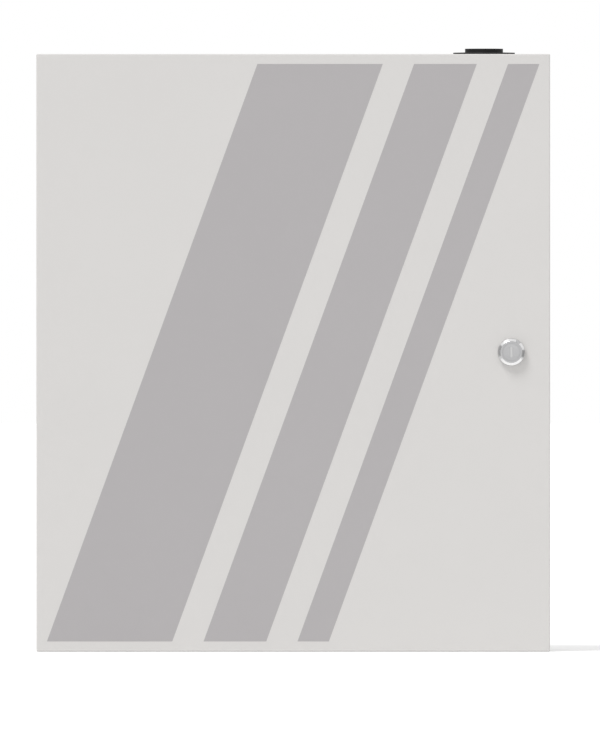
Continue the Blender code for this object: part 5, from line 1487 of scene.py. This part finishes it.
@dataclass
class PowerSupply:
    """The mains power supply in the lower right corner."""

    middle: float = 108.8
    pitch: float = 8.5
    ways: int = 7
    way_place: Pair = (-14.5, -81.6)
    plate: Pair = (5.2, 4.2)
    plate_span: Pair = (0.1, 0.6)
    screw: Pair = (1.9, 1.6)
    core: Point = (30, 34, 22)
    winding: Point = (24, 20, 26)
    core_place: Point = (92.8, -18.0, -135.0)

    def build(self) -> None:
        """Coats the metal, puts a screw and a pressure plate into each way, and adds the transformer."""
        coat(ALUMINIUM, "supply_chassis")
        coat(GALVANISED, "supply_cover")
        left = self.middle - self.pitch * self.ways / 2
        look = SplitPlastic("supply_block", "black_plastic", tint(40, 40, 42), 0.5)
        coat(replace(look, left=left * MM, pitch=self.pitch * MM), "supply_terminals")
        places = [(left + self.pitch * (way + 0.5), *self.way_place) for way in range(self.ways)]
        plate = prism(rectangle(*self.plate), *self.plate_span).at()
        screw = screw_head(*self.screw, Drive.CROSS).at((0, -self.plate_span[1], 0))
        put("supply_screws", (plate + screw).copies(places), TINNED, sharp=CRISP)
        put("supply_transformer", bar(self.core, edge=2).at(self.core_place), MATT_BLACK)
        put("supply_windings", bar(self.winding, edge=3).at(self.core_place), WINDING_TAPE)


@dataclass
class Batteries:
    """Two standby batteries under a strap.

    The sleeves' line is a share of their outline, in thousandths, and a height.
    """

    middles: Pair = (-102.3, -22.3)
    front: float = -57.5
    label: Pair = (52, 30)
    label_film: Pair = (0.02, 0.12)
    label_z: float = -158.0
    lid_top: float = -89.0
    vent: Point = (46, 14, 0.8)
    vent_y: float = -24.0
    blades: tuple[float, ...] = (-128.8, -75.8, -48.8, 4.2)
    blade_y: float = -43.5
    sign: Pair = (5.0, 1.1)
    sign_height: float = 0.4
    sign_y: float = -35.0
    sleeve_size: Pair = (6.6, 3.6)
    sleeve_z: float = -83.0
    sleeve: Line = ((0.01, -5.6), (1000, -5.6), (1000, 4.4), (620, 6.4), (560, 9.8), (0.01, 9.8))
    strap_screws: Table = (("left", -149.55), ("right", 24.95))
    strap_head: Pair = (3.8, 2.6)
    strap_front: float = -3.0
    strap_shank: tuple[float, ...] = (2.0, 0, 2.7, 0.7, 0.3)
    strap_back: float = -0.3
    strap_z: float = -123.5

    def build(self) -> None:
        """Coats cases, lids and strap, and adds labels, signs, vent strips, sleeves and strap screws."""
        coat(CASE_GREY, "battery_left_case", "battery_right_case")
        coat(LID_GREY, "battery_left_lid", "battery_right_lid")
        coat(GALVANISED, "battery_bracket")
        label = prism(eased(rectangle(*self.label), 2, True), *self.label_film).at()
        put("battery_labels", label.copies([(x, self.front, self.label_z) for x in self.middles]), LABEL)
        strip = bar(self.vent, edge=0.3).at(facing=Facing.UP)
        put("vent_strips", strip.copies([(x, self.vent_y, self.lid_top) for x in self.middles]), CASE_GREY)
        self.signs()
        self.sleeves()
        for name, x in self.strap_screws:
            head = screw_head(*self.strap_head, Drive.CROSS).at((x, self.strap_front, self.strap_z))
            shank = thread(*self.strap_shank, sides=24).at((x, self.strap_back, self.strap_z))
            put("strap_screw_" + name, head + shank, TINNED, Body.BOX, "bracket_screw_" + name, CRISP)

    def signs(self) -> None:
        """A raised plus beside each positive blade and a minus beside each negative one."""
        outlines = (rectangle(*self.sign), rectangle(*self.sign[::-1]))
        strokes = [prism(outline, 0, self.sign_height, edge=0.1) for outline in outlines]
        dash, post = (stroke.at(facing=Facing.UP) for stroke in strokes)
        places = [(x, self.sign_y, self.lid_top - 0.3) for x in self.blades]
        put("pole_signs", dash.copies(places) + post.copies(places[1::2]), LABEL)

    def sleeves(self) -> None:
        """A push-on sleeve over each blade: an outline times a share that falls upwards, to a neck."""
        line = eased(self.sleeve, 0.6)[1:-1]
        outline = eased(rectangle(*self.sleeve_size), 1.2, True)
        rings = stacked([(outline * share / 1000, height) for share, height in line])
        sleeve = skin(rings).at(facing=Facing.UP)
        for name, finish, first in (("black", BLACK, 0), ("red", RED_SLEEVE, 1)):
            places = [(x, self.blade_y, self.sleeve_z) for x in self.blades[first::2]]
            put("blade_sleeves_" + name, sleeve.copies(places), finish)


@dataclass
class TamperSwitch:
    """The switch that the closed door holds in."""

    place: Point = (139.0, -73.9, 110.0)
    plunger: Line = (
        (0.4, 19.6), (2.0, 19.6), (3.8, 17.7), (3.8, 16.4), (2.2, 16.4), (2.2, -9.0), (0.4, -9.0),
    )
    spring: float = 3.0
    spring_wire: float = 0.28
    spring_span: Pair = (0.4, 16.0)
    spring_turns: int = 8
    spring_end: float = 16.4
    tab: Point = (3.0, 0.6, 6.0)
    tab_places: tuple[Point, ...] = ((135.5, -62.0, 100.5), (135.5, -70.0, 100.5))
    screw: Pair = (2.1, 1.2)
    screw_side: float = 3.6
    screw_rise: float = 4.2

    def build(self) -> None:
        """Coats the bracket and body, and makes the plunger, its spring, the tabs and the screws."""
        coat(ZINC, "tamper_bracket")
        coat(BLACK, "tamper_switch")
        plunger = revolve(self.plunger, 0.6).at(self.place)
        put("door_plunger", plunger, NYLON, Body.PLUNGER, "tamper_plunger")
        coil = tube(helix(self.spring, *self.spring_span, self.spring_turns, 32), self.spring_wire, 8)
        spring = put("plunger_spring", coil.at(self.place), TINNED)
        spring.parent = None
        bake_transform(spring)
        tabs = block(self.tab).at(facing=Facing.UP).copies(self.tab_places)
        corner = np.array([(-self.screw_side, 0, self.screw_rise), (self.screw_side, 0, -self.screw_rise)])
        screws = screw_head(*self.screw, Drive.CROSS).at().copies(corner + self.place)
        put("tamper_tabs", tabs + screws, TINNED)


@dataclass
class EarthPoints:
    """The earth studs of the box and of the door, with what is stacked on them.

    The lug's neck is given by half its width, its depth and its height.
    """

    box_stud: Point = (-133.0, -1.2, 0.0)
    door_stud: Point = (-120.5, -93.8, 0.0)
    stud: float = 2.5
    bore: float = 2.7
    pitch: float = 0.8
    cut: float = 0.3
    box_span: Pair = (0.3, 13.0)
    door_span: Pair = (0.3, 7.0)
    washer_rim: float = 5.0
    washer_span: Pair = (0.4, 1.3)
    teeth: int = 12
    tooth_middle: float = 4.3
    tooth_half: float = 0.6
    star_span: Pair = (1.4, 2.1)
    nut_flats: float = 8.0
    nut_length: float = 4.0
    nut_y: float = -5.2
    lug_rim: float = 4.4
    lug_span: Pair = (2.4, 3.6)
    lug_sheet: float = 0.8
    lug_y: float = -7.2
    neck: Table = ((2.2, -4.2, -3.6), (1.8, -6.0, -5.6), (1.4, -7.2, -7.2))
    cap: Line = ((0.6, -3.4), (3.6, -3.4), (3.6, 4.0), (1.8, 5.2), (1.8, 8.2), (0.6, 8.2))
    box_cap_y: float = -14.2
    door_cap_y: float = -86.8

    def build(self) -> None:
        """Threads the studs, and stacks washers, a lug, a nut and a cap on the box's one."""
        x, _, z = self.box_stud
        rod = thread(self.stud, *self.box_span, self.pitch, self.cut)
        put("box_earth_screw", rod.at(self.box_stud), ZINC, hides="earth_stud")
        nut = hex_nut(self.nut_flats, self.bore, self.nut_length)
        put("box_earth_nut", nut.at((x, self.nut_y, z)), ZINC, hides="earth_nut")
        angle = turn(96)
        bore = circle(angle) * self.bore
        wave = self.tooth_middle + self.tooth_half * np.sign(np.sin(angle * self.teeth))[:, None]
        star = frame_of(circle(angle) * wave, bore, *self.star_span)
        washers = washer(self.bore, self.washer_rim, *self.washer_span, 0.2, 48) + star
        put("earth_washers", washers.at(self.box_stud), ZINC)
        ring = frame_of(circle(angle) * self.lug_rim, bore, *self.lug_span).at(self.box_stud)
        rows = [(rectangle(2 * half, self.lug_sheet) + (x, y), height) for half, y, height in self.neck]
        neck = skin(stacked(rows))
        sleeve = revolve([(0.4, 6.6), (1.8, 6.6), (1.8, 13.5), (0.4, 13.5)], 0.3, 32)
        put("earth_lug", ring + neck + sleeve.at((x, self.lug_y, 0), Facing.DOWN), TINNED)
        head = revolve([(2.0, 0.3), (4.5, 0.3), (4.5, 1.9), (2.0, 1.9)], 0.3, 40)
        stud = thread(self.stud, *self.door_span, self.pitch, self.cut) + head
        put("door_earth_screw", stud.at(self.door_stud, Facing.BACK), ZINC, Body.DOOR, "door_earth_stud")
        cap = revolve(self.cap, 0.6, 40)
        put("earth_cap_box", cap.at((x, self.box_cap_y, z)), NYLON)
        put("earth_cap_door", cap.at((self.door_stud[0], self.door_cap_y, z), Facing.BACK), NYLON, Body.DOOR)


@dataclass
class Leads:
    """The wires inside the panel, on the routes of their CAD nodes."""

    radius: float = 1.1
    tamper_radius: float = 0.8
    lay: float = 55.0
    blades: tuple[float, ...] = Batteries.blades
    blade_top: float = -82.4
    blade_y: float = Batteries.blade_y
    entry_y: float = -21.6
    entry_z: tuple[float, ...] = (6.0, 22.0, 25.0)
    supply_y: float = -15.9
    supply_z: tuple[float, ...] = (-79.6, -73.8, -64.8)
    stud_x: float = EarthPoints.box_stud[0]
    stud_y: float = EarthPoints.lug_y
    earth_level: float = -60.8
    near: float = 6.0
    far: float = 26.0
    tamper_x: float = TamperSwitch.place[0]
    slack: tuple[Point, ...] = ((-133.0, -14.5, 0), (-120.5, -86.5, 0), (0, 0, 44.0))
    slack_shares: Line = ((0.24, 0.75), (0.50, 1.0), (0.76, 0.75))

    def entry(self, way: int) -> float:
        """Where a way of the power row is across the panel."""
        return ControlBoard.rows[-1][1] + ControlBoard.pitch * (way + 0.5)

    def supply(self, way: int) -> float:
        """Where a way of the power supply is across the panel."""
        return PowerSupply.middle + PowerSupply.pitch * (way - (PowerSupply.ways - 1) / 2)

    def build(self) -> None:
        """Makes each lead, and a collar where it enters a terminal."""
        self.lead("link_wire", self.link(), BLACK_PVC, "battery_link_lead")
        self.lead("battery_plus_wire", self.battery(self.blades[3], 0), RED_PVC, "battery_positive_lead")
        self.lead("battery_minus_wire", self.battery(self.blades[0], 1), BLACK_PVC, "battery_negative_lead")
        self.lead("supply_plus_wire", self.feed(1, 2), RED_PVC, "supply_positive_lead")
        self.lead("supply_minus_wire", self.feed(2, 3), BLACK_PVC, "supply_negative_lead")
        earth = tube(route(self.earth()), self.radius, 20, self.lay)
        put("box_earth_wire", earth, EARTH_PVC, hides="supply_earth_lead")
        self.door_wire()
        thin = tube(route(self.tamper()), self.tamper_radius)
        put("tamper_wire", thin, BLACK_PVC, hides="tamper_lead")
        collar = revolve([(0.6, 0), (1.6, 0), (1.4, 5.0), (0.6, 5.0)], 0.3, 28).at(facing=Facing.DOWN)
        ways = [(self.entry(way), self.entry_y, self.entry_z[1] + 0.3) for way in (0, 1, 2, 3, 5)]
        put("terminal_collars", collar.copies(ways), FERRULE_BLUE)
        fork = revolve([(0.6, 0), (1.7, 0), (1.6, 7.0), (0.6, 7.0)], 0.3, 28).at(facing=Facing.UP)
        ways = [(self.supply(way), self.supply_y, self.supply_z[0]) for way in (0, 1, 2)]
        put("supply_collars", fork.copies(ways), RED_SLEEVE)

    def lead(self, name: str, points: list[Point], finish: Finish, node: str) -> None:
        """One wire on its route, in place of its CAD node."""
        put(name, tube(route(points), self.radius), finish, hides=node)

    def link(self) -> list[Point]:
        """The route between the two inner blades, in an arch.

        Returns:
            The route's points.
        """
        left, right = self.blades[1:3]
        rises = ((left, 0), (left, 8.0), ((left + right) / 2, 16.0), (right, 8.0), (right, 0))
        return [(x, self.blade_y, self.blade_top + rise) for x, rise in rises]

    def battery(self, x: float, way: int) -> list[Point]:
        """The route from a blade along the batteries' tops and up to the power row.

        Args:
            x: Where the blade is.
            way: The way that it goes to.

        Returns:
            The route's points.
        """
        start, top, end = self.blade_y, self.blade_top, self.entry(way)
        y, z = start - 6.0 * way, top + 18.0 + 8.0 * way
        points = [(x, start, top), (x, start, top + 7.0), (x + self.near, (start + y) / 2, z - 6.0)]
        points += [(x + self.far, y, z), (end - self.far, y, z), (end - self.near, y, z + 7.0)]
        points.append((end, (y + self.entry_y) / 2, z + 26.0))
        return points + [(end, self.entry_y, height) for height in self.entry_z]

    def feed(self, supply_way: int, way: int) -> list[Point]:
        """The route from the power supply to the power row.

        Args:
            supply_way: The way that it starts from.
            way: The way that it goes to.

        Returns:
            The route's points.
        """
        x, end = self.supply(supply_way), self.entry(way)
        middle = ((x + end) / 2, (self.supply_y + self.entry_y) / 2 - 10.0, (-80.8 + self.entry_z[1]) / 2)
        rise = [(x, self.supply_y, z) for z in self.supply_z]
        return rise + [middle] + [(end, self.entry_y, z) for z in self.entry_z]

    def earth(self) -> list[Point]:
        """The route from the power supply's earth way along the box's back to its stud.

        Returns:
            The route's points.
        """
        x, end, y, level = self.supply(0), self.stud_x, self.stud_y, self.earth_level
        points = [(x, self.supply_y, z) for z in self.supply_z[:2]]
        run = (x - self.near, x - self.far, (x + end) / 2, end + self.far)
        points += [(across, y, level) for across in run]
        return points + [(end + self.near, y, level + 16.0), (end, y, -11.3), (end, y, -8.0)]

    def tamper(self) -> list[Point]:
        """The route from the tamper switch down beside the board and up to the power row.

        Returns:
            The route's points.
        """
        x, y, end = self.tamper_x, self.entry_y, self.entry(5)
        points = [(x, -66.4, 102.7), (x, -66.4, 86.7), (x, -44.0, 62.35), (x - self.near, y, 16.0)]
        points += [((x + end) / 2, y, 0.0), (end + self.near, y, 6.0)]
        return points + [(end, y, z) for z in self.entry_z[1:]]

    def door_wire(self) -> None:
        """The slack earth wire to the door, which bends between the box and the door."""
        start, end, sag = np.array(self.slack)
        hang = [start + (end - start) * share - sag * drop for share, drop in self.slack_shares]
        points = [start, start + (0, -7.0, -4.4), *hang, end + (0, 6.0, -4.4), end]
        shell = tube(route(points), self.radius, 20, self.lay)
        wire = put("door_earth_wire", shell, EARTH_PVC, hides="door_earth_lead")
        wire.parent = None
        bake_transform(wire)


@dataclass
class Studio:
    """The camera, light, floor and the dark flags that only bright metal sees. Lengths are in metres.

    A flag has a name, the two ends of its line across and up, and its grey.
    """

    lens: float = 1100.0
    sensor: float = 36.0
    frame_height: float = 0.4512
    aim: Point = (0.0042, -0.0950, -0.0072)
    rise: float = math.radians(0.25)
    sun: float = 1.55
    sun_from: Point = (-0.355, -0.40, 0.80)
    sun_spread: float = math.radians(22)
    ambient: float = 0.635
    floor: float = -0.18504
    floor_reach: float = 20.0
    floor_grey: float = 0.90
    floor_glow: float = 0.30
    flag_foot: float = -0.18404
    flag_depth: Pair = (-0.60, 0.10)
    cards: Table = (
        ("flag_left", (-0.40, flag_foot), (-0.40, 0.33), 0.41),
        ("flag_low", (-0.40, flag_foot), (-0.12, flag_foot), 0.80),
        ("flag_right", (0.42, -0.125), (0.42, 0.052), 0.38),
        ("flag_foot", (0.42, flag_foot), (0.42, -0.125), 0.80),
    )

    def build(self) -> None:
        """Sets everything up."""
        bpy.context.scene.view_settings.view_transform = "Standard"
        self.camera()
        self.light()
        self.ground()
        self.flags()

    def camera(self) -> None:
        """A long lens in front of the door, so far off that the photograph's frame height fills it."""
        data = bpy.data.cameras.new("camera")
        data.lens, data.sensor_width, data.clip_end = self.lens, self.sensor, 100.0
        away = Vector((0, -math.cos(self.rise), math.sin(self.rise)))
        camera = bpy.data.objects.new("camera", data)
        camera.location = Vector(self.aim) + away * (self.lens / self.sensor * self.frame_height)
        camera.rotation_euler = away.to_track_quat("Z", "Y").to_euler()
        bpy.context.scene.collection.objects.link(camera)
        bpy.context.scene.camera = camera

    def seen(self, bench: Bench) -> Wire:
        """Tells which rays see the white studio.

        Args:
            bench: Where the nodes go.

        Returns:
            1 for rays from the camera, or by way of bright metal or glass.
        """
        path = bench.node("ShaderNodeLightPath").socket.node
        kinds = ("Is Camera Ray", "Is Glossy Ray", "Is Transmission Ray")
        camera, glossy, through = (Wire(bench, path.outputs[kind]) for kind in kinds)
        return bench.node("ShaderNodeMath", {"operation": "MINIMUM"}, {0: camera + glossy + through, 1: 1.0})

    def light(self) -> None:
        """One wide soft light from the upper left front, and an even sky that looks white."""
        data = bpy.data.lights.new("key", "SUN")
        data.energy, data.angle = self.sun, self.sun_spread
        key = bpy.data.objects.new("key", data)
        key.rotation_euler = Vector(self.sun_from).to_track_quat("Z", "Y").to_euler()
        bpy.context.scene.collection.objects.link(key)
        bench = Bench(bpy.data.worlds.new("studio"))
        bpy.context.scene.world = bench.owner
        even = bench.node("ShaderNodeBackground", None, {"Color": WHITE, "Strength": self.ambient})
        white = bench.node("ShaderNodeBackground", None, {"Color": WHITE, "Strength": 1.0})
        mixed = bench.node("ShaderNodeMixShader", None, {0: self.seen(bench), 1: even, 2: white})
        bench.join(bench.tree.nodes["World Output"].inputs["Surface"], mixed)

    def ground(self) -> None:
        """A pale floor that looks white to the camera wherever no shadow falls."""
        corners = rectangle(2 * self.floor_reach, 2 * self.floor_reach)
        bench = Bench(bpy.data.materials.new("pale_floor"))
        matt = bench.node("ShaderNodeBsdfDiffuse", None, {"Color": grey(self.floor_grey)})
        glow = bench.node("ShaderNodeEmission", None, {"Color": WHITE, "Strength": self.floor_glow})
        both = bench.node("ShaderNodeAddShader", None, {0: matt, 1: glow})
        mixed = bench.node("ShaderNodeMixShader", None, {0: self.seen(bench), 1: matt, 2: both})
        bench.join(bench.tree.nodes["Material Output"].inputs["Surface"], mixed)
        self.card("floor", [(x, y, self.floor) for x, y in corners], bench)

    def flags(self) -> None:
        """Grey cards to both sides of the panel that only reflections see."""
        front, back = self.flag_depth
        for name, start, end, level in self.cards:
            bench = Bench(bpy.data.materials.new(name))
            bench.feed({"Base Color": grey(0), "Specular IOR Level": 0.0})
            bench.feed({"Emission Color": grey(level), "Emission Strength": 1.0})
            edges = ((start, front), (start, back), (end, back), (end, front))
            made = self.card(name, [(x, y, z) for (x, z), y in edges], bench)
            made.visible_camera = made.visible_diffuse = False
            made.visible_shadow = made.visible_transmission = False

    def card(self, name: str, corners: list[Point], bench: Bench) -> bpy.types.Object:
        """Makes a flat sheet that isn't part of the panel.

        Args:
            name: Its name.
            corners: Its four corners.
            bench: Its material's nodes.

        Returns:
            The sheet.
        """
        mesh = bpy.data.meshes.new(name)
        mesh.from_pydata(corners, [], [(0, 1, 2, 3)])
        mesh.materials.append(bench.owner)
        made = bpy.data.objects.new(name, mesh)
        bpy.context.scene.collection.objects.link(made)
        return made


def main() -> None:
    """Builds the sub-assemblies in order."""
    logging.basicConfig(level=logging.INFO, format="%(message)s")
    outside = (Studio, Enclosure, CamLock, EntryPlug, Hinges)
    inside = (ControlBoard, PowerSupply, Batteries, TamperSwitch, EarthPoints, Leads)
    for kind in outside + inside:
        log.info("building %s", kind.__name__)
        kind().build()


if __name__ == "__main__":
    main()
